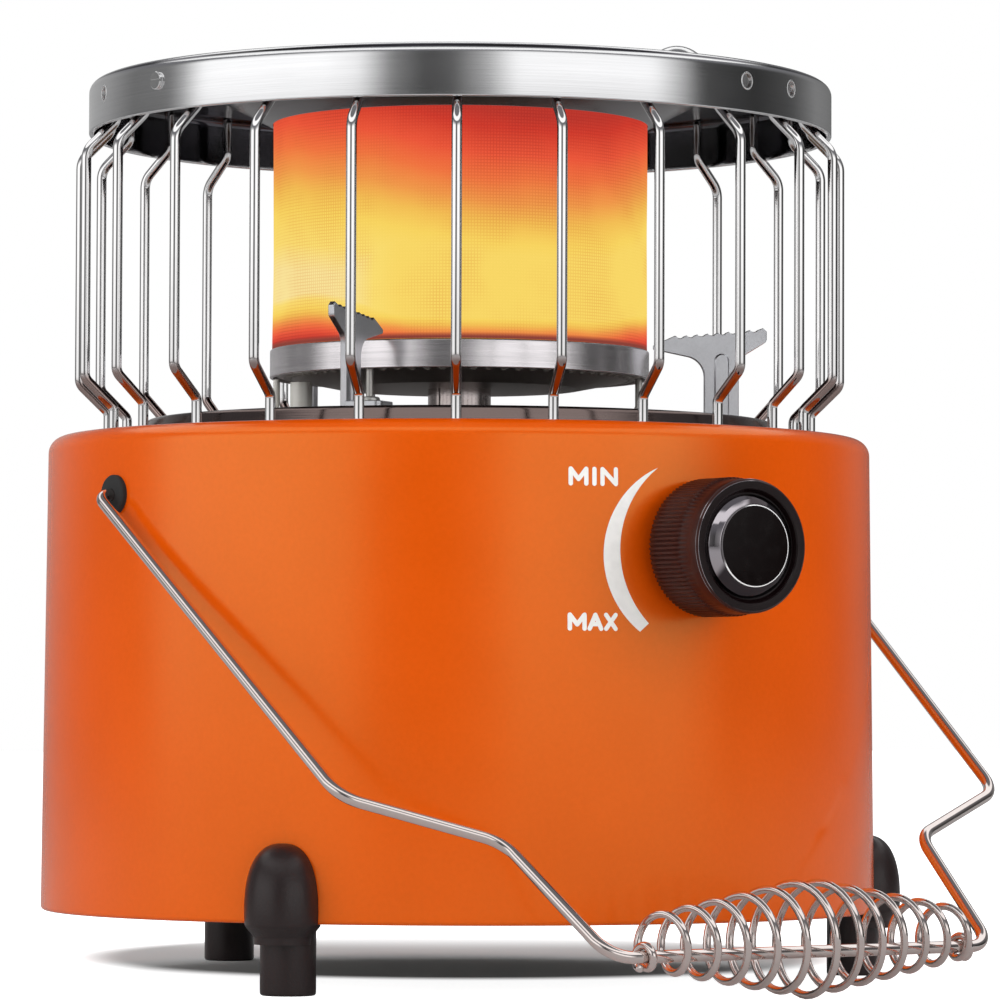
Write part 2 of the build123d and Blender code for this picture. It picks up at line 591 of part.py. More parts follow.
def mixing_tube():
    """Upright tube from the jet to the cup, with a welded collar under the deck and air windows."""
    bore = TUBE_RADIUS - TUBE_WALL
    tube = rod(TUBE_RADIUS, TUBE_BOTTOM, CUP_BOTTOM)
    tube += rod(TUBE_COLLAR_RADIUS, DECK_UNDERSIDE - TUBE_COLLAR, DECK_UNDERSIDE)
    tube -= rod(bore, TUBE_BOTTOM - OVERCUT, CUP_BOTTOM + OVERCUT)
    window = rod(AIR_WINDOW_RADIUS, 0, 2 * TUBE_RADIUS)
    height = TUBE_BOTTOM + AIR_WINDOW_RISE
    return tube - ring_of(
        AIR_WINDOW_COUNT, KNOB_AZIMUTH + 45, lambda azimuth: outward(azimuth, height) * window)


def spark_electrode():
    """Ceramic electrode and its earth pin, on one bracket under the deck."""
    top = cup_underside(ELECTRODE_REACH - ELECTRODE_RADIUS) - ELECTRODE_TIP_GAP
    bottom = DECK_UNDERSIDE - ELECTRODE_DROP
    ceramic = upright_at(ELECTRODE_AZIMUTH, ELECTRODE_REACH) * rod(ELECTRODE_RADIUS, bottom, top)
    pin = rod(EARTH_PIN_RADIUS, DECK_UNDERSIDE - WELD, BAND_BOTTOM - ELECTRODE_TIP_GAP)
    pin = upright_at(EARTH_PIN_AZIMUTH, EARTH_PIN_REACH) * pin
    bracket = on_floor(BRACKET_WIDTH, BRACKET_LENGTH, DECK_UNDERSIDE - BRACKET_SHEET, DECK_UNDERSIDE)
    bracket_reach = ELECTRODE_REACH + (BRACKET_LENGTH - BRACKET_WIDTH) / 2
    return ceramic + pin + upright_at(ELECTRODE_AZIMUTH, bracket_reach) * bracket


def cup_underside(reach):
    """Height of the cup's underside at a distance from the heater's axis."""
    slope = (CUP_BEND - CUP_BOTTOM) / (CUP_RADIUS - CUP_FLOOR_RADIUS)
    return CUP_BOTTOM + max(0.0, reach - CUP_FLOOR_RADIUS) * slope


# ================================================================ pot supports
def rivet_place(azimuth):
    """Frame at the middle of a pot support's foot tab."""
    reach = (SUPPORT_STEM_INNER + SUPPORT_STEM_OUTER) / 2
    return upright_at(azimuth, reach) * Pos((SUPPORT_SHEET + TAB_WIDTH) / 2, 0, 0)


def pot_support():
    """One toothed plate at azimuth 0 with an embossed rib and a foot tab."""
    radial = Plane(origin=(0, 0, 0), x_dir=(0, -1, 0), z_dir=(-1, 0, 0))
    nose_top = SUPPORT_TOP_INNER - SUPPORT_NOSE_DROP
    nose_low = nose_top - SUPPORT_NOSE
    tip_low = SUPPORT_TOP_OUTER - SUPPORT_TIP
    run = SUPPORT_OUTER - SUPPORT_INNER
    climb = (SUPPORT_TOP_OUTER - SUPPORT_TOP_INNER) / run
    points = [
        (SUPPORT_INNER, nose_top),
        (SUPPORT_INNER + SUPPORT_NOSE_RUN, SUPPORT_TOP_INNER + climb * SUPPORT_NOSE_RUN),
        (SUPPORT_OUTER, SUPPORT_TOP_OUTER), (SUPPORT_OUTER, tip_low),
        (SUPPORT_STEM_OUTER, tip_low - SUPPORT_HEEL_DROP), (SUPPORT_STEM_OUTER, DECK_TOP),
        (SUPPORT_STEM_INNER, DECK_TOP), (SUPPORT_STEM_INNER, nose_low - SUPPORT_ARM_DROP),
        (SUPPORT_INNER, nose_low),
    ]
    face = make_face(Polyline(*points, close=True))
    throat = min(SUPPORT_THROAT, SUPPORT_STEM_INNER - SUPPORT_INNER - SUPPORT_THROAT_RUN)
    rounds = {0: SUPPORT_NOSE_ROUND, 2: SUPPORT_TIP_ROUND, 3: SUPPORT_TIP_ROUND, 4: SUPPORT_HEEL_ROUND,
              7: throat, 8: SUPPORT_NOSE_ROUND}
    face = rounded(face, points, rounds)
    for index in range(int((run - SUPPORT_NOSE_RUN) / TOOTH_PITCH)):
        along = SUPPORT_NOSE_RUN + (index + 0.5) * TOOTH_PITCH
        height = SUPPORT_TOP_INNER + climb * along + TOOTH_RADIUS - TOOTH_DEPTH
        face -= Pos(SUPPORT_INNER + along, height) * Circle(TOOTH_RADIUS)
    plate = extrude(radial * face, SUPPORT_SHEET / 2, both=True)
    middle = (SUPPORT_STEM_INNER + SUPPORT_STEM_OUTER) / 2
    rib = Pos(middle, DECK_TOP + RIB_LENGTH / 2) * SlotOverall(RIB_LENGTH, RIB_WIDTH, rotation=90)
    plate += extrude(radial * rib, SUPPORT_SHEET / 2 + RIB_PROUD)
    tab = Box(TAB_WIDTH, SUPPORT_STEM_OUTER - SUPPORT_STEM_INNER, SUPPORT_SHEET,
              align=(Align.MIN, Align.CENTER, Align.MIN))
    support = plate + Pos(SUPPORT_SHEET / 2 - WELD, -middle, DECK_TOP) * tab
    hole = rod(RIVET_RADIUS + RUNNING_FIT, DECK_TOP - OVERCUT, DECK_TOP + SUPPORT_SHEET + OVERCUT)
    return support - rivet_place(0) * hole


def pot_support_rivets():
    """Three rivets through the foot tabs and the deck."""
    top = DECK_TOP + SUPPORT_SHEET
    rivet = rod(RIVET_RADIUS, DECK_UNDERSIDE - WELD, top + WELD)
    rivet += rod(RIVET_HEAD_RADIUS, top, top + RIVET_HEAD)
    rivet += rod(RIVET_HEAD_RADIUS, DECK_UNDERSIDE - RIVET_HEAD, DECK_UNDERSIDE)
    rims = rivet.faces().sort_by(Axis.Z)[-1].edges() + rivet.faces().sort_by(Axis.Z)[0].edges()
    rivet = fillet(rims, RIVET_HEAD_ROUND)
    return [rivet_place(azimuth) * rivet for azimuth in FOOT_AZIMUTHS.values()]


# ================================================================ radiant head
def guard_bottom_ring():
    """Flat ring that the guard wires stand on."""
    inner = WIRE_FOOT_REACH - RING_SECTION / 2
    outer = WIRE_FOOT_REACH + RING_SECTION / 2
    return rod(outer, DECK_SEAT, RING_TOP) - rod(inner, DECK_SEAT - OVERCUT, RING_TOP + OVERCUT)


def guard_wire(azimuth):
    """One guard wire: foot, outward slant, upright run, inward slant and head."""
    bulge = WIRE_FOOT_REACH + WIRE_BULGE
    points = [
        (0, -WIRE_FOOT_REACH, RING_TOP), (0, -WIRE_FOOT_REACH, LOWER_SLANT_START),
        (0, -bulge, LOWER_SLANT_END), (0, -bulge, UPPER_SLANT_START),
        (0, -WIRE_HEAD_REACH, UPPER_SLANT_END), (0, -WIRE_HEAD_REACH, CAP_UNDERSIDE),
    ]
    return around(azimuth) * bent_bar(points, WIRE_BENDS, WIRE_RADIUS)


def guard_cap():
    """Shallow inverted pan with a rounded top edge, a hem and pairs of small skirt holes."""
    inner = CAP_RADIUS - CAP_SHEET
    hem_top = CAP_BOTTOM + CAP_HEM_HEIGHT
    profile = [
        (0, CAP_TOP), (CAP_RADIUS, CAP_TOP), (CAP_RADIUS, CAP_BOTTOM), (CAP_RADIUS - CAP_HEM, CAP_BOTTOM),
        (CAP_RADIUS - CAP_HEM, hem_top), (inner, hem_top), (inner, CAP_UNDERSIDE), (0, CAP_UNDERSIDE),
    ]
    cap = turned(profile, {1: CAP_ROUND, 2: CAP_HEM_ROUND, 3: CAP_HEM_ROUND, 6: CAP_ROUND - CAP_SHEET})
    hole = rod(CAP_HOLE_RADIUS, inner - OVERCUT, CAP_RADIUS + OVERCUT)
    azimuths = CAP_HOLE_AZIMUTHS + (CAP_SCREW_AZIMUTH,)
    cap -= [outward(azimuth, CAP_TOP - CAP_HOLE_DROP) * hole for azimuth in azimuths]
    return cap - dome_holes()


def cap_screw():
    """Slotted screw in one of the skirt's holes, with its nut inside the skirt."""
    inside = CAP_RADIUS - CAP_SHEET
    nut_face = sqrt(inside ** 2 - CAP_SCREW_NUT_RADIUS ** 2) - RUNNING_FIT
    head_face = CAP_RADIUS + RUNNING_FIT
    end = head_face + CAP_SCREW_HEAD
    head = rod(CAP_SCREW_HEAD_RADIUS, head_face, end)
    head = fillet(head.faces().sort_by(Axis.Z)[-1].edges(), CAP_SCREW_HEAD_ROUND)
    head -= on_floor(2 * CAP_SCREW_HEAD_RADIUS, CAP_SCREW_SLOT, end - CAP_SCREW_SLOT_DEPTH, end + OVERCUT)
    screw = head + rod(CAP_SCREW_RADIUS, nut_face - WELD, head_face)
    screw += rod(CAP_SCREW_NUT_RADIUS, nut_face - CAP_SCREW_NUT, nut_face)
    return outward(CAP_SCREW_AZIMUTH, CAP_TOP - CAP_HOLE_DROP) * screw


def dome_holes():
    """Holes for the dome rivets, through cap and deflector."""
    below = CAP_UNDERSIDE - DEFLECTOR_SHEET - OVERCUT
    hole = rod(DOME_SHANK + RUNNING_FIT, below, CAP_TOP + OVERCUT)
    return [upright_at(azimuth, CAP_RIVET_CIRCLE) * hole for azimuth in CAP_RIVET_AZIMUTHS]


def cap_rivets():
    """Three dome rivets that clamp the deflector's flange to the cap."""
    dome_ball = (DOME_RADIUS ** 2 + DOME_HEIGHT ** 2) / (2 * DOME_HEIGHT)
    dome = Pos(0, 0, CAP_TOP + DOME_HEIGHT - dome_ball) * Sphere(dome_ball)
    dome &= rod(2 * DOME_RADIUS, CAP_TOP, CAP_TOP + 2 * DOME_HEIGHT)
    tail = CAP_UNDERSIDE - DEFLECTOR_SHEET
    rivet = dome + rod(DOME_SHANK, tail - WELD, CAP_TOP + WELD)
    rivet += rod(DOME_TAIL_RADIUS, tail - DOME_TAIL, tail)
    return [upright_at(azimuth, CAP_RIVET_CIRCLE) * rivet for azimuth in CAP_RIVET_AZIMUTHS]


def heat_deflector():
    """Pressed deflector: flange on the cap's underside, cone, and a closed collar round the mesh."""
    flange_under = CAP_UNDERSIDE - DEFLECTOR_SHEET
    collar_inner = MESH_RADIUS + SEAT_GAP
    collar_outer = collar_inner + DEFLECTOR_SHEET
    cone_foot = flange_under - DEFLECTOR_CONE_RISE
    disc_top = COLLAR_TOP + DEFLECTOR_SHEET
    profile = [
        (DEFLECTOR_FLANGE, CAP_UNDERSIDE), (DEFLECTOR_CONE_TOP, CAP_UNDERSIDE),
        (collar_outer, cone_foot + DEFLECTOR_BEND),
        (collar_outer, disc_top), (0, disc_top), (0, COLLAR_TOP), (collar_inner, COLLAR_TOP),
        (collar_inner, cone_foot), (collar_outer, cone_foot),
        (DEFLECTOR_CONE_TOP + DEFLECTOR_SHEET, flange_under), (DEFLECTOR_FLANGE, flange_under),
    ]
    return turned(profile) - dome_holes()


def mesh_sleeve():
    """Mesh cylinder that glows, from just above the burner's ledge into the deflector's collar."""
    low = BURNER_TOP + SEAT_GAP
    hollow = rod(MESH_RADIUS - MESH_WALL, low - OVERCUT, COLLAR_TOP + OVERCUT)
    return rod(MESH_RADIUS, low, COLLAR_TOP) - hollow


# ================================================================ valve and knob
def skirt_rear():
    """Distance of the knob's rear edge from the heater's axis."""
    return case_radius(KNOB_HEIGHT) + KNOB_STANDOFF


def valve_front():
    """Distance of the valve block's front face from the heater's axis."""
    return case_radius(KNOB_HEIGHT) - CASE_WALL - VALVE_SETBACK


def thread_end(height):
    """Distance of a panel thread's outer end from the heater's axis."""
    return case_radius(height) + NUT_THICKNESS + THREAD_PROUD


def stem_tip():
    """Distance of the stem's outer end from the heater's axis."""
    return skirt_rear() + KNOB_LENGTH - STEM_SEAT


def valve_body():
    """Gas valve: block, shoulder against the case, and a threaded neck through it."""
    front = valve_front()
    rear = front - VALVE_DEPTH
    shoulder_seat = inner_seat(KNOB_HEIGHT, VALVE_SHOULDER_RADIUS)
    body = on_floor(VALVE_WIDTH, VALVE_HEIGHT, rear, front)
    body = fillet(body.edges().filter_by(Axis.Z), VALVE_ROUND)
    body += rod(VALVE_SHOULDER_RADIUS, front - WELD, shoulder_seat)
    body += rod(NUT_THREAD_RADIUS, shoulder_seat - WELD, thread_end(KNOB_HEIGHT))
    chamber = stem_tip() - STEM_LENGTH - PLUNGER_LENGTH - PUSH_TRAVEL - VALVE_SPARE_TRAVEL
    body -= rod(STEM_RADIUS + RUNNING_FIT, chamber, thread_end(KNOB_HEIGHT) + OVERCUT)
    return outward(KNOB_AZIMUTH, KNOB_HEIGHT) * body


def valve_plunger():
    """Push pin behind the stem, which opens the safety way when the knob is pressed."""
    end = stem_tip() - STEM_LENGTH - RUNNING_FIT
    return outward(KNOB_AZIMUTH, KNOB_HEIGHT) * rod(PLUNGER_RADIUS, end - PLUNGER_LENGTH, end)


def valve_stem():
    """Stem from the valve's chamber into the knob."""
    end = stem_tip()
    stem = chamfer(rod(STEM_RADIUS, end - STEM_LENGTH, end).edges().sort_by(Axis.Z)[-1], STEM_CHAMFER)
    return outward(KNOB_AZIMUTH, KNOB_HEIGHT) * stem


def panel_nut():
    """One nut for a panel thread, with its clamping face at height 0."""
    blank = hexagon(NUT_FLATS, 0, NUT_THICKNESS)
    wide = NUT_FLATS / 2 + NUT_CROWN
    cone = turned([(0, 0), (wide, 0), (wide, NUT_THICKNESS - NUT_CROWN / 2), (NUT_FLATS / 2, NUT_THICKNESS),
                   (0, NUT_THICKNESS)])
    return (blank & cone) - rod(NUT_THREAD_RADIUS + RUNNING_FIT, -OVERCUT, NUT_THICKNESS + OVERCUT)


def panel_nuts():
    """Valve nut outside the case, and inlet nut inside it."""
    corner = NUT_FLATS / sqrt(3)
    valve_nut = Pos(0, 0, outer_seat(KNOB_HEIGHT, corner)) * panel_nut()
    inlet_nut = Pos(0, 0, inner_seat(INLET_HEIGHT, corner)) * Rot(180, 0, 0) * panel_nut()
    return [outward(KNOB_AZIMUTH, KNOB_HEIGHT) * valve_nut, outward(180, INLET_HEIGHT) * inlet_nut]


def knob():
    """Hollow knob with a fine knurl round its skirt, a smooth collar and a dished front."""
    rear = skirt_rear()
    front = rear + KNOB_LENGTH
    knurl_end = rear + KNURL_LENGTH
    blank = turned([
        (0, rear), (KNOB_REAR_RADIUS, rear), (KNOB_REAR_RADIUS, knurl_end),
        (KNOB_FRONT_RADIUS + KNOB_COLLAR_STEP, knurl_end + KNURL_RUNOUT),
        (KNOB_FRONT_RADIUS, front), (0, front),
    ], {1: KNOB_REAR_ROUND, 4: KNOB_BEVEL})
    bar = on_floor(2 * KNURL_DEPTH, 2 * KNURL_DEPTH, rear - OVERCUT, knurl_end + KNOB_COLLAR_STEP)
    groove = Pos(KNOB_REAR_RADIUS + WELD, 0, 0) * Rot(0, 0, 45) * bar
    blank -= [Rot(0, 0, 360.0 * index / KNURL_COUNT) * groove for index in range(KNURL_COUNT)]
    floor = front - DISH_DEPTH
    above = front + OVERCUT
    blank -= turned([
        (0, floor), (FACE_RADIUS + DISH_LIP, floor), (DISH_RADIUS, front - DISH_LIP),
        (DISH_RADIUS, above), (0, above),
    ])
    blank -= rod(KNOB_POCKET_RADIUS, rear - OVERCUT, rear + KNOB_POCKET)
    blank -= rod(STEM_RADIUS + RUNNING_FIT, rear, stem_tip() + RUNNING_FIT)
    return outward(KNOB_AZIMUTH, KNOB_HEIGHT) * blank


def knob_face():
    """Disc that fills the middle of the knob's dish."""
    seat = skirt_rear() + KNOB_LENGTH - DISH_DEPTH
    disc = rod(FACE_RADIUS, seat, seat + FACE_THICKNESS)
    disc = fillet(disc.faces().sort_by(Axis.Z)[-1].edges(), FACE_ROUND)
    return outward(KNOB_AZIMUTH, KNOB_HEIGHT) * disc


def piezo_igniter():
    """Spark module fixed under the valve block."""
    top = -VALVE_HEIGHT / 2
    middle = valve_front() - VALVE_DEPTH / 2
    block = Box(PIEZO_WIDTH, PIEZO_HEIGHT, PIEZO_DEPTH)
    block = fillet(block.edges().filter_by(Axis.Y), PIEZO_ROUND)
    return outward(KNOB_AZIMUTH, KNOB_HEIGHT) * Pos(0, top - PIEZO_HEIGHT / 2, middle) * block


# ================================================================ gas way
def valve_point(right, up, out):
    """Point in the valve's frame: to the right, above the stem's axis, and out from the heater's axis."""
    place = outward(KNOB_AZIMUTH, KNOB_HEIGHT) * Pos(right, up, out)
    return place.position


def inlet_connector():
    """Gas inlet at the rear: thread through the case, hexagonal collar and a plain hose spigot."""
    inner_end = case_radius(INLET_HEIGHT) - INLET_THREAD_LENGTH
    collar = outer_seat(INLET_HEIGHT, INLET_FLATS / sqrt(3))
    collar_face = collar + INLET_COLLAR
    body = rod(NUT_THREAD_RADIUS, inner_end, collar + WELD)
    body += hexagon(INLET_FLATS, collar, collar_face)
    spigot = rod(SPIGOT_RADIUS, collar_face - WELD, collar_face + SPIGOT_LENGTH)
    body += chamfer(spigot.edges().sort_by(Axis.Z)[-1], SPIGOT_CHAMFER)
    body -= rod(SPIGOT_BORE, inner_end - OVERCUT, collar_face + SPIGOT_LENGTH + OVERCUT)
    return outward(180, INLET_HEIGHT) * body


def inlet_pipe():
    """Pipe from the rear inlet, round the burner's jet, to the side of the valve."""
    side = valve_front() - VALVE_DEPTH / 2
    start = valve_point(VALVE_WIDTH / 2, 0, side)
    turn = valve_point(VALVE_WIDTH / 2 + PIPE_SIDE_RUN, 0, side)
    rear = case_radius(INLET_HEIGHT) - INLET_THREAD_LENGTH
    points = [
        start, turn, (turn.X, turn.Y, INLET_HEIGHT), (turn.X, rear - PIPE_REAR_RUN, INLET_HEIGHT),
        (0, rear - PIPE_REAR_RUN, INLET_HEIGHT), (0, rear, INLET_HEIGHT),
    ]
    return bent_bar(points, PIPE_BEND, INLET_PIPE_RADIUS, INLET_PIPE_RADIUS - PIPE_WALL)


def gas_pipe():
    """Pipe from the back of the valve down to the jet."""
    rear = valve_front() - VALVE_DEPTH
    jet_port = TUBE_BOTTOM - JET_HEIGHT / 2
    up = KNOB_HEIGHT - VALVE_HEIGHT / 4
    turn = PIPE_REAR_RUN - rear
    points = [(0, -rear, up), (0, turn, up), (0, turn, jet_port), (0, -JET_PORT_REACH, jet_port)]
    return around(KNOB_AZIMUTH) * bent_bar(points, PIPE_BEND, GAS_PIPE_RADIUS, GAS_PIPE_RADIUS - PIPE_WALL)


def gas_jet():
    """Brass jet in the foot of the mixing tube, with a side port for the pipe."""
    low = TUBE_BOTTOM - JET_HEIGHT
    body = hexagon(JET_FLATS, low, TUBE_BOTTOM)
    body += rod(JET_NOZZLE_RADIUS, TUBE_BOTTOM - WELD, TUBE_BOTTOM + JET_NOZZLE)
    body += outward(0, TUBE_BOTTOM - JET_HEIGHT / 2) * rod(JET_PORT_RADIUS, 0, JET_PORT_REACH)
    body -= rod(JET_ORIFICE, low + JET_HEIGHT / 2, TUBE_BOTTOM + JET_NOZZLE + OVERCUT)
    return around(KNOB_AZIMUTH) * body


def igniter_lead():
    """Insulated lead from the spark module to the electrode."""
    middle = valve_front() - VALVE_DEPTH / 2
    start = valve_point(0, -VALVE_HEIGHT / 2 - PIEZO_HEIGHT, middle)
    reach = radians(ELECTRODE_AZIMUTH)
    end_x = ELECTRODE_REACH * sin(reach)
    end_y = -ELECTRODE_REACH * cos(reach)
    low = start.Z - LEAD_DROP
    points = [
        start, (start.X, start.Y, low), (end_x, start.Y / 2, low), (end_x, end_y, low + LEAD_RISE),
        (end_x, end_y, DECK_UNDERSIDE - ELECTRODE_DROP),
    ]
    return bent_bar(points, LEAD_BEND, LEAD_RADIUS)


# ================================================================ bail
def bail_frame():
    """Frame of the hanging bail: local X along the pivot axis, local Y down along the arms."""
    tilt = radians(BAIL_REST_ANGLE)
    plane = Plane(origin=(0, 0, PIVOT_HEIGHT), x_dir=(1, 0, 0), z_dir=(0, cos(tilt), -sin(tilt)))
    return plane.location


def bail_wire():
    """Bent wire: two ends in the grommets, arms, elbows, knees and a straight grip rod."""
    half = [
        (CASE_RADIUS - BAIL_END_INSET, 0), (CASE_RADIUS + BAIL_SHOULDER_GAP, 0),
        (CASE_RADIUS - BAIL_ELBOW_INSET, BAIL_ELBOW_DROP), (BAIL_KNEE_HALF, BAIL_KNEE_DROP),
        (BAIL_GRIP_HALF, BAIL_GRIP_DROP),
    ]
    points = half + [(-across, down) for across, down in reversed(half)]
    bends = (BAIL_SHOULDER_BEND, BAIL_ELBOW_BEND, BAIL_KNEE_BEND, BAIL_GRIP_BEND)
    path = FilletPolyline(*points, radius=bends + tuple(reversed(bends)))
    return bail_frame() * sweep((path ^ 0) * Circle(BAIL_WIRE_RADIUS), path=path)


def coil_frame():
    """Frame on the coil's axis, at its middle: local Z along the grip rod, local X straight down."""
    tilt = radians(BAIL_REST_ANGLE)
    middle = (0, -BAIL_GRIP_DROP * sin(tilt), GRIP_HEIGHT + COIL_HANG)
    return Plane(origin=middle, x_dir=(0, 0, -1), z_dir=(1, 0, 0)).location


def coil_turn(pitch, radius, lean=0.0):
    """One turn of the coil's wire, with a ball at its start. It narrows where it leans."""
    path = Helix(pitch, pitch, radius, cone_angle=-lean)
    turn = sweep((path ^ 0) * Circle(COIL_WIRE_RADIUS), path=path)
    return turn + Pos(radius, 0, 0) * Sphere(COIL_WIRE_RADIUS)


def coil_half():
    """Half of the coil: turns that narrow, then one closed turn round the grip rod."""
    close_radius = BAIL_WIRE_RADIUS + COIL_WIRE_RADIUS + COIL_CLOSE_GAP
    length = COIL_PITCH * COIL_HALF_TURNS
    narrowing = (COIL_MIDDLE_RADIUS - close_radius - COIL_HANG) / length
    closed = coil_turn(COIL_CLOSE_PITCH, close_radius)
    closed += Pos(close_radius, 0, COIL_CLOSE_PITCH) * Sphere(COIL_WIRE_RADIUS)
    half = Pos(COIL_HANG, 0, length) * closed
    for index in range(COIL_HALF_TURNS):
        along = COIL_PITCH * index
        radius = COIL_MIDDLE_RADIUS - narrowing * along
        half += Pos(0, 0, along) * coil_turn(COIL_PITCH, radius, degrees(atan(narrowing)))
    return half


def coil_grip():
    """Double-cone coil round the grip rod."""
    half = coil_half()
    return coil_frame() * (half + Rot(180, 0, 0) * half)


def grommets():
    """Two rubber grommets in the case, each with a groove for the wall."""
    inner_face = inner_seat(PIVOT_HEIGHT, GROMMET_RADIUS)
    outer_face = outer_seat(PIVOT_HEIGHT, GROMMET_RADIUS)
    bore = BAIL_WIRE_RADIUS + RUNNING_FIT
    profile = [
        (bore, inner_face - GROMMET_FLANGE), (GROMMET_RADIUS, inner_face - GROMMET_FLANGE),
        (GROMMET_RADIUS, inner_face), (GROMMET_NECK, inner_face), (GROMMET_NECK, outer_face),
        (GROMMET_RADIUS, outer_face), (GROMMET_RADIUS, outer_face + GROMMET_FLANGE),
        (bore, outer_face + GROMMET_FLANGE),
    ]
    ring = turned(profile, {1: GROMMET_ROUND, 6: GROMMET_ROUND})
    return [outward(side, PIVOT_HEIGHT) * ring for side in (-90, 90)]


# ================================================================ assembly
def all_nodes():
    """Every node's name and its solid or list of identical solids."""
    nodes = {
        "body_shell": body_shell(),
        "bottom_plate": bottom_plate(),
        "case_screws": case_screws(),
        "deck_pan": deck_pan(),
        "burner_band": burner_band(),
        "burner_cup": burner_cup(),
        "burner_port_plate": burner_port_plate(),
        "mixing_tube": mixing_tube(),
        "spark_electrode": spark_electrode(),
        "pot_support_rivets": pot_support_rivets(),
        "guard_bottom_ring": guard_bottom_ring(),
        "guard_cap": guard_cap(),
        "cap_fasteners": cap_rivets() + [cap_screw()],
        "heat_deflector": heat_deflector(),
        "mesh_sleeve": mesh_sleeve(),
        "valve_body": valve_body(),
        "valve_plunger": valve_plunger(),
        "valve_stem": valve_stem(),
        "panel_nuts": panel_nuts(),
        "knob": knob(),
        "knob_face": knob_face(),
        "piezo_igniter": piezo_igniter(),
        "inlet_connector": inlet_connector(),
        "inlet_pipe": inlet_pipe(),
        "gas_pipe": gas_pipe(),
        "gas_jet": gas_jet(),
        "igniter_lead": igniter_lead(),
        "bail_wire": bail_wire(),
        "coil_grip": coil_grip(),
        "grommets": grommets(),
    }
    for place, azimuth in FOOT_AZIMUTHS.items():
        name = "foot_rear" if place == "rear" else "foot_front_" + place
        nodes[name] = around(azimuth) * foot()
        nodes["pot_support_" + place] = around(azimuth) * pot_support()
    for index in range(WIRE_COUNT):
        azimuth = WIRE_FIRST_AZIMUTH + 360.0 * index / WIRE_COUNT
        nodes[f"guard_wire_{index + 1:02d}"] = guard_wire(azimuth)
    return nodes


def write(nodes):
    """Write each node to its own STEP file."""
    os.makedirs("parts", exist_ok=True)
    for name, shape in nodes.items():
        if isinstance(shape, list):
            shape = Compound(children=[piece.solid() for piece in shape])
        shape.label = name
        export_step(shape, f"parts/{name}.step")


write(all_nodes())
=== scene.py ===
import logging
import math
from dataclasses import dataclass, field
from enum import Enum
from typing import Iterable, Sequence

import bpy
import numpy as np
from mathutils import Matrix, Vector


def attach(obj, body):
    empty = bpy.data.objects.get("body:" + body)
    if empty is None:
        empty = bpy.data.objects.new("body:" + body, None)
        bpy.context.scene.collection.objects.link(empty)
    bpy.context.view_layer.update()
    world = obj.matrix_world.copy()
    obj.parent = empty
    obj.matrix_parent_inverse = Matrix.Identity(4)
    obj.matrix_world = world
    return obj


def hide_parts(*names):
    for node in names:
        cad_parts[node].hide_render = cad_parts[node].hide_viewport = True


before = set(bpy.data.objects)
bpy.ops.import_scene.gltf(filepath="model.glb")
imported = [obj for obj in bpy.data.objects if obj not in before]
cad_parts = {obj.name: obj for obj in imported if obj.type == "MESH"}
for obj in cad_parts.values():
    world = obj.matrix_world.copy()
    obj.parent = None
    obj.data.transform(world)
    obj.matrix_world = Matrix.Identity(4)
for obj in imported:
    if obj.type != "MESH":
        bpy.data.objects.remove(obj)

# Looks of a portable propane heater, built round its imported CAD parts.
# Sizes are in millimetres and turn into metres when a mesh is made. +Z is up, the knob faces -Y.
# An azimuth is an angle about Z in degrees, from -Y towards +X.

log = logging.getLogger("heater")

MM = 0.001
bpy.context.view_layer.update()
TINY = 1e-6

Point2 = tuple[float, float]
Outline = list[Point2]
Colour = tuple[float, float, float]

# Socket numbers of a Mix node that mixes colours.
MIX_SHARE, MIX_LOW, MIX_HIGH, MIX_RESULT = 0, 6, 7, 2


class Body(Enum):
    """The moving bodies that pieces ride on."""

    CASE = "root"
    KNOB = "knob"
    BAIL = "bail"
    HEAD = "radiant_head"


class Grain(Enum):
    """Direction in which a metal was brushed or drawn."""

    ROUND = "round the upright axis"
    PLAIN = "no direction"


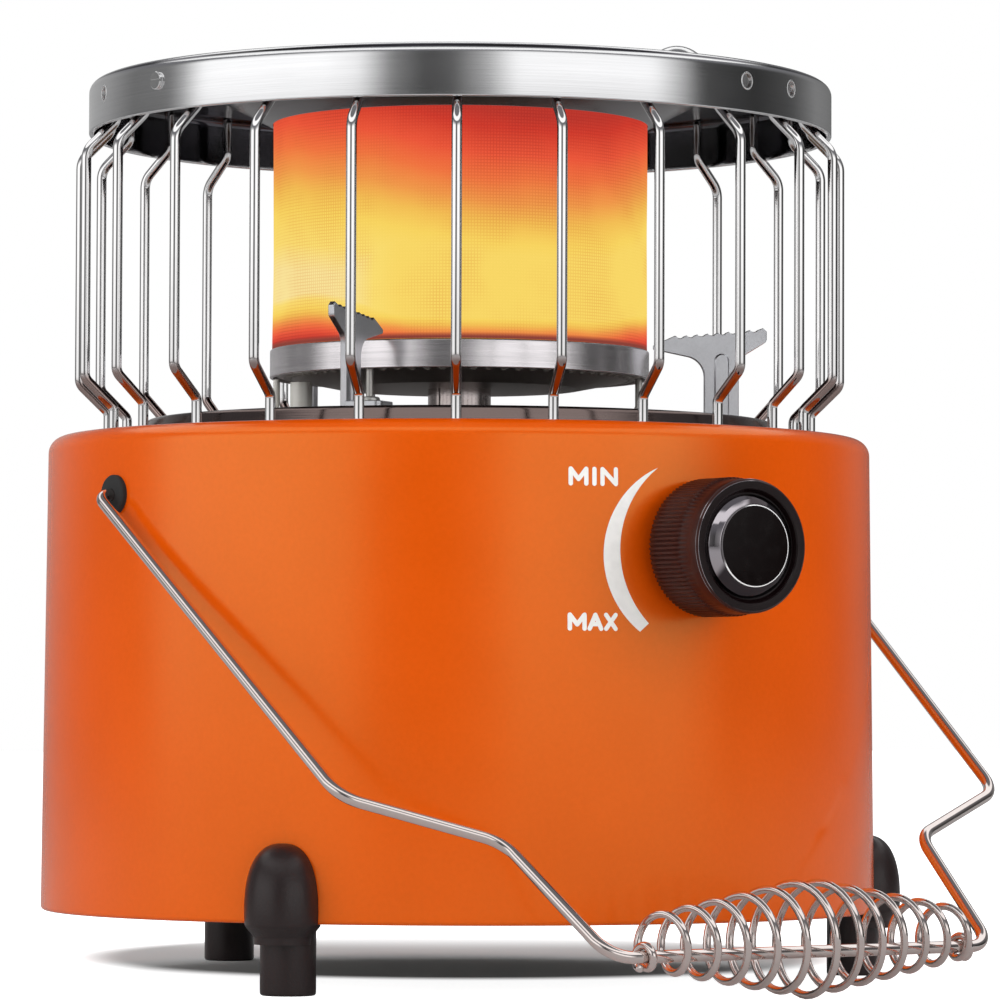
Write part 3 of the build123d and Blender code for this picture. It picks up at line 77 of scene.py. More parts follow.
# ---------------------------------------------------------------------------- shader expressions
class Signal:
    """A shader value that takes part in Python expressions."""

    def __init__(self, graph: "Graph", socket: bpy.types.NodeSocket) -> None:
        """Keep the socket and the graph that it belongs to."""
        self.graph = graph
        self.socket = socket

    def _math(self, operation: str, *values: "Signal | float") -> "Signal":
        """One Math node.

        Args:
            operation: the Math node's operation.
            values: its inputs, in order.
        Returns:
            The node's result.
        """
        return self.graph.node("ShaderNodeMath", {"operation": operation}, dict(enumerate(values)))

    def __add__(self, other: "Signal | float") -> "Signal":
        """Sum."""
        return self._math("ADD", self, other)

    def __sub__(self, other: "Signal | float") -> "Signal":
        """Difference."""
        return self._math("SUBTRACT", self, other)

    def __rsub__(self, other: float) -> "Signal":
        """Difference from a number."""
        return self._math("SUBTRACT", other, self)

    def __mul__(self, other: "Signal | float") -> "Signal":
        """Product."""
        return self._math("MULTIPLY", self, other)

    def __truediv__(self, other: "Signal | float") -> "Signal":
        """Quotient."""
        return self._math("DIVIDE", self, other)

    def __pow__(self, other: float) -> "Signal":
        """Power."""
        return self._math("POWER", self, other)

    __radd__ = __add__
    __rmul__ = __mul__

    def most(self, other: "Signal | float") -> "Signal":
        """The larger of two values."""
        return self._math("MAXIMUM", self, other)

    def least(self, other: "Signal | float") -> "Signal":
        """The smaller of two values."""
        return self._math("MINIMUM", self, other)

    def sine(self) -> "Signal":
        """Sine of an angle in radians."""
        return self._math("SINE", self)

    def cosine(self) -> "Signal":
        """Cosine of an angle in radians."""
        return self._math("COSINE", self)

    def rise(self, low: float, high: float) -> "Signal":
        """Smooth step from 0 at low to 1 at high."""
        sockets = {"Value": self, "From Min": low, "From Max": high}
        return self.graph.node("ShaderNodeMapRange", {"interpolation_type": "SMOOTHSTEP"}, sockets)

    def tint(self, low: "Signal | Colour", high: "Signal | Colour") -> "Signal":
        """Colour that goes from low at 0 to high at 1."""
        sockets = {MIX_SHARE: self, MIX_LOW: rgba(low), MIX_HIGH: rgba(high)}
        return self.graph.node("ShaderNodeMix", {"data_type": "RGBA"}, sockets, MIX_RESULT)

    def ramp(self, stops: Sequence[tuple[float, Colour]], ease: str = "LINEAR") -> "Signal":
        """Colour ramp.

        Args:
            stops: positions with their linear colours.
            ease: the ramp's interpolation.
        Returns:
            The colour at this value.
        """
        return self.graph.node("ShaderNodeValToRGB", {"interpolation": ease, "stops": stops}, {"Fac": self})


def rgba(colour: "Signal | Colour") -> "Signal | tuple[float, ...]":
    """Colour with an alpha of 1, or the signal as it is."""
    return colour if isinstance(colour, Signal) else (*colour, 1.0)


def paint(red: int, green: int, blue: int) -> Colour:
    """Linear colour of an sRGB colour given in bytes."""
    return tuple(grey(byte) for byte in (red, green, blue))


def grey(byte: float) -> float:
    """Linear value of one sRGB byte."""
    share = byte / 255
    return share / 12.92 if share <= 0.04045 else ((share + 0.055) / 1.055) ** 2.4


class Graph:
    """A node tree under construction."""

    def __init__(self, tree: bpy.types.NodeTree) -> None:
        """Empty the tree."""
        self.tree = tree
        tree.nodes.clear()

    def add(self, kind: str, settings: dict | None = None, sockets: dict | None = None) -> bpy.types.Node:
        """Add a node.

        Args:
            kind: the node's type.
            settings: attributes, which are set first. "stops" fills a colour ramp.
            sockets: values or signals by the name or number of an input.
        Returns:
            The node.
        """
        node = self.tree.nodes.new(kind)
        for name, value in (settings or {}).items():
            if name == "stops":
                self._fill_ramp(node.color_ramp, value)
            elif name == "interpolation" and hasattr(node, "color_ramp"):
                node.color_ramp.interpolation = value
            else:
                setattr(node, name, value)
        for name, value in (sockets or {}).items():
            if isinstance(value, Signal):
                self.tree.links.new(value.socket, node.inputs[name])
            else:
                node.inputs[name].default_value = value
        return node

    def node(self, kind: str, settings: dict | None = None, sockets: dict | None = None,
             output: int | str = 0) -> Signal:
        """Add a node and take one output.

        Args:
            kind: the node's type.
            settings: attributes, which are set first.
            sockets: values or signals by the name or number of an input.
            output: name or number of the output.
        Returns:
            The output as a signal.
        """
        return Signal(self, self.add(kind, settings, sockets).outputs[output])

    @staticmethod
    def _fill_ramp(ramp: bpy.types.ColorRamp, stops: Sequence[tuple[float, Colour]]) -> None:
        """Give a ramp its stops."""
        while len(ramp.elements) < len(stops):
            ramp.elements.new(1.0)
        for element, (position, colour) in zip(ramp.elements, stops):
            element.position = position
            element.color = (*colour, 1.0)

    def place(self) -> Signal:
        """Point on the piece, in metres of the heater's own frame."""
        return self.node("ShaderNodeTexCoord", output="Object")

    def parts(self, vector: Signal) -> tuple[Signal, Signal, Signal]:
        """X, Y and Z of a vector."""
        split = self.add("ShaderNodeSeparateXYZ", None, {0: vector})
        return tuple(Signal(self, split.outputs[axis]) for axis in range(3))

    def joined(self, x: "Signal | float", y: "Signal | float", z: "Signal | float") -> Signal:
        """Vector from three values."""
        return self.node("ShaderNodeCombineXYZ", None, {0: x, 1: y, 2: z})

    def wrapped(self) -> tuple[Signal, Signal, Signal]:
        """Azimuth in radians, distance from the upright axis and height, in metres."""
        x, y, z = self.parts(self.place())
        return x._math("ARCTAN2", x, 0.0 - y), (x * x + y * y) ** 0.5, z

    def noise(self, vector: Signal, scale: float, detail: float = 3.0, roughness: float = 0.5) -> Signal:
        """Noise from 0 to 1.

        Args:
            vector: where to look it up.
            scale: features for each unit of the vector.
            detail: octaves.
            roughness: strength of the finer octaves.
        Returns:
            The noise value.
        """
        return self.node("ShaderNodeTexNoise", None,
                         {"Vector": vector, "Scale": scale, "Detail": detail, "Roughness": roughness})


# ---------------------------------------------------------------------------- finishes
@dataclass(frozen=True)
class Finish:
    """A surface finish. Each kind adds its own colour, grain and relief to one shader."""

    name: str
    slot: str
    colour: Colour = (0.5, 0.5, 0.5)
    rough: float = 0.4
    metal: float = 0.0

    def material(self) -> bpy.types.Material:
        """The material, which is made on first use."""
        found = bpy.data.materials.get(self.name)
        if found:
            return found
        material = bpy.data.materials.new(self.name)
        material.use_nodes = True
        graph = Graph(material.node_tree)
        plain = {"Base Color": rgba(self.colour), "Roughness": self.rough, "Metallic": self.metal}
        links = self.varied(graph)
        relief = links.pop("Relief", None)
        if relief:
            height, depth = relief
            links["Normal"] = graph.node("ShaderNodeBump", None, {"Height": height, "Distance": depth * MM})
        shader = graph.add("ShaderNodeBsdfPrincipled", None, {**plain, **self.fixed(), **links})
        graph.add("ShaderNodeOutputMaterial", None, {"Surface": Signal(graph, shader.outputs[0])})
        return material

    def fixed(self) -> dict:
        """Constants of the shader that differ from its defaults."""
        return {}

    def varied(self, graph: Graph) -> dict:
        """What changes over the surface, by shader socket. "Relief" holds a height and a depth in mm."""
        return {}


@dataclass(frozen=True)
class PowderCoat(Finish):
    """Satin powder coat with orange peel, faint mottling and fine dust in the film."""

    peel: float = 0.02
    mottle: float = 0.05
    sheen: float = 0.85
    sheen_tint: Colour = (0.82, 1.0, 0.34)
    cloud_scale: float = 38.0
    grain_scale: float = 900.0
    pebble_scale: float = 620.0
    nib_scale: float = 1900.0

    def fixed(self) -> dict:
        """Strength and warmth of the film's gloss."""
        return {"Specular IOR Level": self.sheen, "Specular Tint": rgba(self.sheen_tint)}

    def varied(self, graph: Graph) -> dict:
        """Cloudy pigment, pebbled film and rare dust nibs."""
        place = graph.place()
        cloud = graph.noise(place, self.cloud_scale, 2.0)
        grain = graph.noise(place, self.grain_scale, 2.0)
        pebble = graph.noise(place, self.pebble_scale, 2.0, 0.6)
        nib = graph.noise(place, self.nib_scale, 0.0).rise(0.76, 0.84)
        darker = tuple(0.95 * part for part in self.colour)
        lighter = tuple(min(1.0, 1.03 * part + 0.001) for part in self.colour)
        shade = (cloud * 0.6 + grain * 0.4).rise(0.5 - 5 * self.mottle, 0.5 + 5 * self.mottle)
        return {
            "Base Color": shade.tint(darker, lighter),
            "Roughness": self.rough + (cloud - 0.5) * 0.04 + (grain - 0.5) * 0.05,
            "Relief": (pebble + nib * 0.6, self.peel),
        }


@dataclass(frozen=True)
class Metal(Finish):
    """Bare or plated metal with brushing or drawing marks, light scratches and finger haze."""

    metal: float = 1.0
    grain: Grain = Grain.PLAIN
    streak: float = 0.10
    haze: float = 0.05
    tarnish: Colour | None = None
    relief: float = 0.012
    line_scale: float = 2600.0
    broad_scale: float = 300.0

    def varied(self, graph: Graph) -> dict:
        """Streaks in brightness, roughness and relief, and a patchy haze."""
        place = graph.place()
        if self.grain is Grain.ROUND:
            azimuth, reach, height = graph.wrapped()
            fine, wide = self.line_scale, self.broad_scale
            lines = graph.noise(graph.joined(azimuth * 1.6, reach * fine, height * fine), 1.0, 4.0, 0.7)
            broad = graph.noise(graph.joined(azimuth * 2.2, reach * wide, height * wide), 1.0, 3.0)
        else:
            lines = graph.noise(place, 1400.0, 4.0, 0.7)
            broad = graph.noise(place, 260.0, 3.0)
        patch = graph.noise(place, 45.0, 3.0, 0.6)
        dull = tuple(part * (1 - self.streak) for part in self.colour)
        base = (lines * 0.6 + broad * 0.4).rise(0.3, 0.7).tint(dull, self.colour)
        if self.tarnish:
            base = graph.noise(place, 70.0, 4.0).rise(0.42, 0.72).tint(base, self.tarnish)
        return {
            "Base Color": base,
            "Roughness": self.rough + (lines - 0.5) * self.haze + (patch - 0.5) * 2 * self.haze,
            "Relief": (lines, self.relief),
        }


@dataclass(frozen=True)
class CapMetal(Metal):
    """Brushed outside, and a dull inside darkened with painted shade."""

    skin_radius: float = 89.3
    skin_height: float = 213.85
    hem_height: float = 202.7
    blend: float = 0.1
    painted_inside_shade: float = 0.10

    def varied(self, graph: Graph) -> dict:
        """The metal's own variation, with painted shade that darkens the inside of the pan in patches."""
        links = super().varied(graph)
        _, reach, height = graph.wrapped()
        level = height * (1 / MM)
        edge = self.blend
        outside = (reach * (1 / MM)).rise(self.skin_radius - edge, self.skin_radius + edge)
        outside = outside.most(level.rise(self.skin_height - edge / 2, self.skin_height + edge / 2))
        outside = outside.most(1 - level.rise(self.hem_height - edge, self.hem_height + edge))
        # Painted shade: the inside of the pan is painted dark grey, a little blue, in cloudy patches, for the
        # shade it lies in.
        shade_patches = graph.noise(graph.place(), 55.0, 3.0).rise(0.3, 0.7)
        painted_shade = shade_patches.tint((0.7 * self.painted_inside_shade,) * 3, (1.45 * self.painted_inside_shade, 1.4 * self.painted_inside_shade, 1.6 * self.painted_inside_shade))
        links["Base Color"] = outside.tint(painted_shade, links["Base Color"])
        return links


@dataclass(frozen=True)
class WireWithPaintedReflection(Metal):
    """Bright wire with a painted reflection: a browner, darker colour on its slant between the lower bends.
    """

    low: float = 135.4
    high: float = 142.3
    painted_bend_reflection: Colour = (0.36, 0.27, 0.25)

    def varied(self, graph: Graph) -> dict:
        """The metal's own variation, with the painted reflection between two heights."""
        links = super().varied(graph)
        _, _, height = graph.wrapped()
        level = height * (1 / MM)
        above = level.rise(self.low - 1.0, self.low + 1.0)
        patch = above * (1 - level.rise(self.high - 0.5, self.high + 2.0))
        # Painted reflection: the slant between the lower bends is painted brown for the warm, dark reflection
        # it shows there.
        links["Base Color"] = patch.tint(links["Base Color"], self.painted_bend_reflection)
        return links


@dataclass(frozen=True)
class EdgeWithPaintedLight(Metal):
    """Polished edge round a level axis, with a tone painted towards its upper left: the painted highlight on
    the knob's flank, and the dark break in the painted highlight line round the disc.
    """

    azimuth: float = -4.0
    height: float = 100.5
    radius: float = 10.5
    upper_left_painted_tone: Colour = (0.5, 0.5, 0.5)

    def varied(self, graph: Graph) -> dict:
        """The metal's own variation, with the painted tone on its upper left side."""
        links = super().varied(graph)
        x, y, z = graph.parts(graph.place())
        turn = math.radians(self.azimuth)
        side, lift = x * math.cos(turn) + y * math.sin(turn), z - self.height * MM
        patch = ((lift * 0.42 - side * 0.9) * (1 / (self.radius * MM))).rise(0.45, 0.62)
        links["Base Color"] = patch.tint(links["Base Color"], self.upper_left_painted_tone)
        return links


@dataclass(frozen=True)
class Moulding(Finish):
    """Moulded rubber or plastic with a spark-eroded grain and rubbed high spots."""

    pebble: float = 0.035
    cell: float = 1500.0
    sheen: float = 0.5
    dust: float = 0.35

    def fixed(self) -> dict:
        """Strength of the plain surface gloss."""
        return {"Specular IOR Level": self.sheen}

    def varied(self, graph: Graph) -> dict:
        """Fine pebbles, with faint dust in their valleys."""
        place = graph.place()
        cells = graph.noise(place, self.cell, 2.0, 0.6)
        rubbed = graph.noise(place, 120.0, 3.0)
        grime = tuple(part * 1.5 + 0.006 for part in self.colour)
        return {
            "Base Color": ((1 - cells) * rubbed * 2 * self.dust).tint(self.colour, grime),
            "Roughness": self.rough + (rubbed - 0.5) * 0.16 + (cells - 0.5) * 0.1,
            "Relief": (cells, self.pebble),
        }


@dataclass(frozen=True)
class Gloss(Finish):
    """Polished plastic or glaze with very light scratches."""

    film: float = 0.6
    sheen: float = 0.5
    dust_scale: float = 300.0
    scratch_scale: tuple[float, float, float] = (40.0, 900.0, 900.0)

    def fixed(self) -> dict:
        """A hard clear film over the piece's own gloss."""
        return {"Coat Weight": self.film, "Coat Roughness": 0.04, "Specular IOR Level": self.sheen}

    def varied(self, graph: Graph) -> dict:
        """Hairline scratches and a breath of dust."""
        place = graph.place()
        drawn = graph.node("ShaderNodeMapping", None, {"Vector": place, "Scale": self.scratch_scale})
        hair = graph.noise(drawn, 1.0, 2.0)
        dusty = tuple(part + 0.004 for part in self.colour)
        return {
            "Base Color": graph.noise(place, self.dust_scale).rise(0.4, 0.9).tint(self.colour, dusty),
            "Roughness": self.rough + (hair - 0.5) * 0.08,
            "Relief": (hair, 0.002),
        }


@dataclass(frozen=True)
class Print(Finish):
    """Screen-printed ink, slightly uneven."""

    def varied(self, graph: Graph) -> dict:
        """Film that is a little thinner in places."""
        place = graph.place()
        film = graph.noise(place, 500.0, 3.0)
        return {
            "Base Color": film.rise(0.2, 0.8).tint(tuple(0.93 * part for part in self.colour), self.colour),
            "Roughness": self.rough + (film - 0.5) * 0.15,
            "Relief": (film, 0.01),
        }


# Colours of glowing mesh from its dull ends to its hottest part, and its heat away from that part.
HEAT_HUES: list[tuple[float, Colour]] = [
    (0.0, paint(186, 50, 40)), (0.08, paint(206, 55, 40)), (0.22, paint(233, 84, 54)),
    (0.34, paint(238, 114, 60)), (0.46, paint(238, 150, 70)), (0.57, paint(240, 188, 80)),
    (0.68, paint(245, 210, 92)), (0.86, paint(247, 219, 110)), (1.0, paint(246, 225, 150)),
]
WARM = 0.74


@dataclass(frozen=True)
class GlowingWeave(Finish):
    """Woven heat-resisting mesh that glows: red at the ends, yellow in the middle, hottest on one side."""

    low: float = 150.6
    heat_azimuth: float = -12.0
    hot_spot_azimuth: float = -95.0
    pitch: float = 0.74
    radius: float = 45.3
    strength: float = 1.0
    glow_top: float = 213.3
    top_reach: float = 45.0
    top_bulge: float = 10.5
    bottom_reach: float = 11.0
    bottom_sag: float = 3.6
    contrast: float = 0.34

    def fixed(self) -> dict:
        """The glow adds to a dull metal surface."""
        return {"Emission Strength": self.strength, "Specular IOR Level": 0.1}

    def weave(self, azimuth: Signal, height: Signal) -> Signal:
        """Height of the weave, where 1 is the top of a wire and 0 a hole."""
        columns = round(2 * math.pi * self.radius / self.pitch)
        across = (azimuth * (columns / 2)).sine()
        along = (height * (math.pi / (self.pitch * MM))).sine()
        return (across * across).least(along * along)

    def heat(self, graph: Graph, azimuth: Signal, height: Signal) -> Signal:
        """Heat from 0 at the dull red ends to 1 where it is nearly white."""
        level = height * (1 / MM)
        waver = graph.noise(graph.joined(azimuth * 1.7, 0.0, height * 30.0), 1.0, 2.0) - 0.5
        facing = (azimuth - math.radians(self.heat_azimuth)).cosine()
        top = self.glow_top - level - facing.most(0.0) ** 2.0 * self.top_bulge + waver * 6.0
        top = top / self.top_reach
        sunk = (azimuth - math.radians(self.heat_azimuth - 8.0)).cosine().rise(0.35, 0.95)
        bottom = (level - self.low - 0.5 + sunk * self.bottom_sag + waver * 3.0) / self.bottom_reach
        hottest = (azimuth - math.radians(self.hot_spot_azimuth)).cosine().rise(0.75, 0.97)
        hottest = hottest * (1 - WARM) + WARM
        return top.least(bottom).least(hottest)

    def varied(self, graph: Graph) -> dict:
        """Glow colour, broken up by the weave."""
        azimuth, _, height = graph.wrapped()
        heat = self.heat(graph, azimuth, height)
        hues = heat.ramp(HEAT_HUES)
        wires = self.weave(azimuth, height)
        patch = graph.noise(graph.place(), 60.0, 2.0).rise(0.35, 0.7)
        shade = wires.rise(0.0, 0.35) * patch * self.contrast + (1 - patch * self.contrast)
        gaps = heat.rise(0.15, 0.75).tint(paint(150, 40, 30), paint(214, 120, 44))
        spots = shade.tint(gaps, hues)
        hem = (height * (1 / MM)).rise(self.low + 0.3, self.low + 1.7)
        spots = hem.tint(paint(132, 58, 48), spots)
        return {
            "Base Color": (0.25 * wires).tint((0.02, 0.01, 0.01), (0.2, 0.1, 0.05)),
            "Emission Color": spots,
            "Relief": (wires, 0.10),
        }


ORANGE = PowderCoat("orange_powder_coat", "orange_paint", (0.745, 0.088, 0.0005), 0.18)
CAP_STEEL = CapMetal("brushed_cap_steel", "brushed_stainless", (0.83, 0.83, 0.84), 0.13, grain=Grain.ROUND)
BAND_STEEL = Metal("brushed_band_steel", "brushed_stainless", (0.90, 0.86, 0.88), 0.24,
                   grain=Grain.ROUND, streak=0.25)
# Painted dark reflection: the deck's steel is given a near-black brown colour for the dark reflections on its
# plateau.
DECK_STEEL_PAINTED_DARK = Metal("deck_steel_painted_dark", "polished_stainless", (0.19, 0.145, 0.135), 0.12, grain=Grain.ROUND)
# Painted shade: the deflector under the cap is given a near-black colour for the shade it lies in.
DEFLECTOR_STEEL_PAINTED_SHADE = Metal("deflector_steel_painted_shade", "polished_stainless", (0.075, 0.06, 0.062), 0.2,
                        grain=Grain.ROUND)
BURNER_STEEL = Metal("burner_steel", "burner_steel", (0.16, 0.13, 0.125), 0.12, grain=Grain.ROUND,
                     tarnish=(0.09, 0.06, 0.05))
TUBE_STEEL = Metal("burner_tube_steel", "burner_steel", (0.50, 0.44, 0.43), 0.1, tarnish=(0.35, 0.28, 0.25))
SUPPORT_STEEL = Metal("satin_support_steel", "satin_steel", (0.74, 0.75, 0.78), 0.34, haze=0.08)
WIRE_STEEL = WireWithPaintedReflection("bright_wire", "chromed_wire", (0.88, 0.87, 0.87), 0.05,
                        streak=0.05, haze=0.02, relief=0.002)
BAIL_STEEL = Metal("plated_wire", "chromed_wire", (0.80, 0.72, 0.69), 0.06,
                   streak=0.05, haze=0.02, relief=0.002)
ZINC = Metal("zinc_plate", "zinc_steel", (0.62, 0.62, 0.60), 0.34, haze=0.08, tarnish=(0.5, 0.46, 0.4))
BRASS = Metal("turned_brass", "brass", (0.72, 0.50, 0.20), 0.28, streak=0.2, tarnish=(0.45, 0.28, 0.12))
PIPE = Metal("drawn_pipe", "pipe_metal", (0.74, 0.75, 0.76), 0.33, haze=0.07)
RUBBER_FOOT = Moulding("black_foot_moulding", "black_moulding", paint(32, 22, 22), 0.33,
                       pebble=0.05, sheen=0.45, dust=0.2)
RUBBER = Moulding("black_rubber", "black_rubber", paint(34, 24, 22), 0.5)
KNOB_SKIRT = Moulding("dark_knob_moulding", "knob_plastic", paint(48, 20, 15), 0.36,
                      pebble=0.012, sheen=0.3, dust=0.1)
KNOB_FACE = Gloss("gloss_black_disc", "knob_gloss", paint(10, 4, 4), 0.05, film=0.0, sheen=0.12)
KNOB_FRONT = Gloss("knob_front", "knob_plastic", paint(20, 10, 11), 0.2, film=0.0, sheen=0.25)
# Painted highlight: the knob's flank and rim edge are painted bright on their upper left, as a crescent of
# reflected light.
KNOB_EDGE_PAINTED_HIGHLIGHT = EdgeWithPaintedLight("knob_edge_painted_highlight", "knob_gloss", (0.06, 0.05, 0.055), 0.08, streak=0.02, haze=0.02,
                  relief=0.002, upper_left_painted_tone=(0.52, 0.48, 0.51))
# Painted highlight line: the disc's thin edge ring is painted white round its right and bottom, dark on its
# upper left.
DISC_EDGE_PAINTED_HIGHLIGHT = EdgeWithPaintedLight("disc_edge_painted_highlight", "knob_gloss", (0.95, 0.95, 0.95), 0.3, metal=0.0, relief=0.001,
                  upper_left_painted_tone=(0.10, 0.09, 0.095))
# Painted highlight: the rims round the cap's holes are brighter than the cap's own steel, for the bright
# spots of light in the holes.
HOLE_RIM = Metal("hole_rim_painted_highlight", "brushed_stainless", (0.97, 0.97, 0.97), 0.42, streak=0.02)
RIM_STEEL = Metal("bright_rim_steel", "brushed_stainless", (0.86, 0.86, 0.86), 0.14, haze=0.03)
CERAMIC = Gloss("glazed_ceramic", "ceramic", (0.78, 0.76, 0.70), 0.2)
INK = Print("white_ink", "white_print", paint(252, 250, 246), 0.45)
GLOW = GlowingWeave("glowing_weave", "glowing_mesh", rough=0.8)


# ---------------------------------------------------------------------------- mesh making
def filleted(points: Sequence[Sequence[float]], radii: Sequence[float], step: float = 8.0) -> list[Vector]:
    """Open path through corners, each rounded by an arc.

    Args:
        points: corners of the path.
        radii: radius at each inner corner.
        step: degrees of each arc step.
    Returns:
        Points along the path.
    """
    corners = [Vector(point) for point in points]
    path = [corners[0]]
    for before, corner, after, radius in zip(corners, corners[1:], corners[2:], radii):
        back, ahead = (before - corner).normalized(), (after - corner).normalized()
        half = back.angle(ahead) / 2
        middle = corner + (back + ahead).normalized() * (radius / math.sin(half))
        first, last = (corner + way * (radius / math.tan(half)) for way in (back, ahead))
        count = max(2, math.ceil(math.degrees(math.pi - 2 * half) / step))
        arm_first, arm_last = first - middle, last - middle
        sweep = arm_first.angle(arm_last)
        for share in (index / count for index in range(count + 1)):
            arm = arm_first * math.sin((1 - share) * sweep) + arm_last * math.sin(share * sweep)
            path.append(middle + arm / math.sin(sweep))
    return path + [corners[-1]]


def rounded(points: Outline, radii: dict[int, float], step: float = 12.0) -> Outline:
    """Closed outline with some corners rounded.

    Args:
        points: corners in order.
        radii: radius by the number of a corner.
        step: degrees of each arc step.
    Returns:
        The outline's points.
    """
    outline: Outline = []
    for index, point in enumerate(points):
        radius = radii.get(index)
        if radius is None:
            outline.append(point)
            continue
        around = [points[index - 1], point, points[(index + 1) % len(points)]]
        arc = filleted([(*corner, 0.0) for corner in around], [radius], step)[1:-1]
        outline += [(spot.x, spot.y) for spot in arc]
    return outline


def at(azimuth: float, reach: float, height: float) -> Vector:
    """Point at an azimuth, a distance from the upright axis and a height."""
    angle = math.radians(azimuth)
    return Vector((reach * math.sin(angle), -reach * math.cos(angle), height))


def outward_frame(azimuth: float, height: float) -> Matrix:
    """Frame on the upright axis whose local Z points out at the azimuth and whose local Y points up."""
    out = at(azimuth, 1.0, 0.0)
    up = Vector((0, 0, 1))
    across = up.cross(out)
    turn = Matrix((across, up, out)).transposed().to_4x4()
    return Matrix.Translation((0, 0, height)) @ turn


# Rings of a bar's domed end: how far out and how wide, as shares of its radius.
DOME = [(0.16, 0.86), (0.30, 0.55)]


class Shape:
    """A mesh in millimetres, as vertices and faces."""

    def __init__(self) -> None:
        """Start empty."""
        self.vertices: list[Vector] = []
        self.faces: list[Sequence[int]] = []

    def _add(self, rows: list[list[Vector]], closed_ring: bool, closed_rows: bool) -> int:
        """Join rows of points by quads.

        Args:
            rows: rows with the same number of points.
            closed_ring: join each row's end to its start.
            closed_rows: join the last row to the first.
        Returns:
            Number of the first new vertex.
        """
        start, width = len(self.vertices), len(rows[0])
        self.vertices += [Vector(point) for row in rows for point in row]
        for row in range(len(rows) if closed_rows else len(rows) - 1):
            ahead = (row + 1) % len(rows)
            for column in range(width if closed_ring else width - 1):
                beside = (column + 1) % width
                self.faces.append([start + row * width + column, start + row * width + beside,
                                   start + ahead * width + beside, start + ahead * width + column])
        return start

    def turned(self, outline: Outline, segments: int, matrix: Matrix | None = None) -> "Shape":
        """Ring or solid turned about local Z from a closed (radius, height) outline.

        Args:
            outline: closed outline. Points on the axis become the middle of a cap.
            segments: steps of the turn.
            matrix: where to put it.
        Returns:
            This shape.
        """
        outline = list(outline)
        solid = any(radius < TINY for radius, _ in outline)
        if solid:
            first = next(i for i, (r, _) in enumerate(outline) if r < TINY and outline[i - 1][0] < TINY)
            outline = outline[first:] + outline[:first]
        rows = [[Vector((radius * math.cos(angle), radius * math.sin(angle), height))
                 for angle in (2 * math.pi * index / segments for index in range(segments))]
                for radius, height in outline]
        if solid:
            start = self._add(rows[1:-1], True, False)
            count = len(rows) - 2
            for row, height, flip in ((0, outline[0][1], False), (count - 1, outline[-1][1], True)):
                middle = len(self.vertices)
                self.vertices.append(Vector((0, 0, height)))
                for index in range(segments):
                    pair = [start + row * segments + index, start + row * segments + (index + 1) % segments]
                    self.faces.append([middle, *(pair if flip else pair[::-1])])
        else:
            start = self._add(rows, True, True)
        self._put(start, matrix)
        return self

    def _put(self, start: int, matrix: Matrix | None) -> None:
        """Move the vertices from start on."""
        if matrix is not None:
            for index in range(start, len(self.vertices)):
                self.vertices[index] = matrix @ self.vertices[index]

    def tube(self, path: Sequence[Vector], radius: float, sides: int = 20) -> "Shape":
        """Round bar along a path, with domed ends.

        Args:
            path: points along its middle.
            radius: the bar's radius.
            sides: faces round it.
        Returns:
            This shape.
        """
        path = [Vector(point) for point in path]
        path = [path[0]] + [b for a, b in zip(path, path[1:]) if (b - a).length > 1e-4]
        heading = (path[1] - path[0]).normalized()
        side = heading.orthogonal().normalized()
        rows = []
        for index, point in enumerate(path):
            ahead = path[min(index + 1, len(path) - 1)] - path[max(index - 1, 0)]
            side = heading.rotation_difference(ahead.normalized()) @ side
            heading = ahead.normalized()
            other = heading.cross(side)
            rings = [(0.0, 1.0)]
            if index == 0:
                rings = [(-shift, share) for shift, share in reversed(DOME)] + rings
            elif index == len(path) - 1:
                rings = rings + DOME
            for shift, share in rings:
                middle, reach = point + heading * (shift * radius), share * radius
                rows.append([
                    middle + reach * (side * math.cos(angle) + other * math.sin(angle))
                    for angle in (2 * math.pi * step / sides for step in range(sides))
                ])
        start = self._add(rows, True, False)
        self.faces.append([start + index for index in reversed(range(sides))])
        last = start + (len(rows) - 1) * sides
        self.faces.append([last + index for index in range(sides)])
        return self

    def plate(self, outline: Outline, thickness: float, matrix: Matrix, bevel: float = 0.2) -> "Shape":
        """Flat plate with eased edges, from a closed outline that turns anticlockwise.

        Args:
            outline: closed outline in the frame's X and Y.
            thickness: size along the frame's Z, centred.
            matrix: the frame.
            bevel: width of the eased edge.
        Returns:
            This shape.
        """
        rows = []
        for inset, height in ((bevel, -thickness / 2), (0.0, bevel - thickness / 2),
                              (0.0, thickness / 2 - bevel), (bevel, thickness / 2)):
            rows.append([Vector((x, y, height)) for x, y in inset_outline(outline, inset)])
        start = self._add(rows, True, False)
        width = len(outline)
        self.faces.append([start + index for index in reversed(range(width))])
        self.faces.append([start + 3 * width + index for index in range(width)])
        self._put(start, matrix)
        return self

    def mesh(self, name: str) -> bpy.types.Mesh:
        """The shape as a mesh in metres."""
        mesh = bpy.data.meshes.new(name)
        points, faces = [tuple(vertex * MM) for vertex in self.vertices], [list(face) for face in self.faces]
        mesh.from_pydata(points, [], faces)
        return mesh

    def piece(self, name: str, finish: Finish, body: Body, *nodes: str,
              crease: float = 38.0) -> bpy.types.Object:
        """Turn the shape into a dressed piece of the heater.

        Args:
            name: the piece's name.
            finish: its finish.
            body: the body that it rides on.
            nodes: the CAD nodes that it stands for.
            crease: edges sharper than this many degrees stay sharp.
        Returns:
            The piece.
        """
        mesh = self.mesh(name)
        mesh.validate()
        mesh.shade_smooth()
        mesh.set_sharp_from_angle(angle=math.radians(crease))
        mesh.materials.append(finish.material())
        made = placed(name, mesh)
        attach(made, body.value)
        if nodes:
            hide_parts(*nodes)
        log.info("made %s with %d faces", name, len(mesh.polygons))
        return made


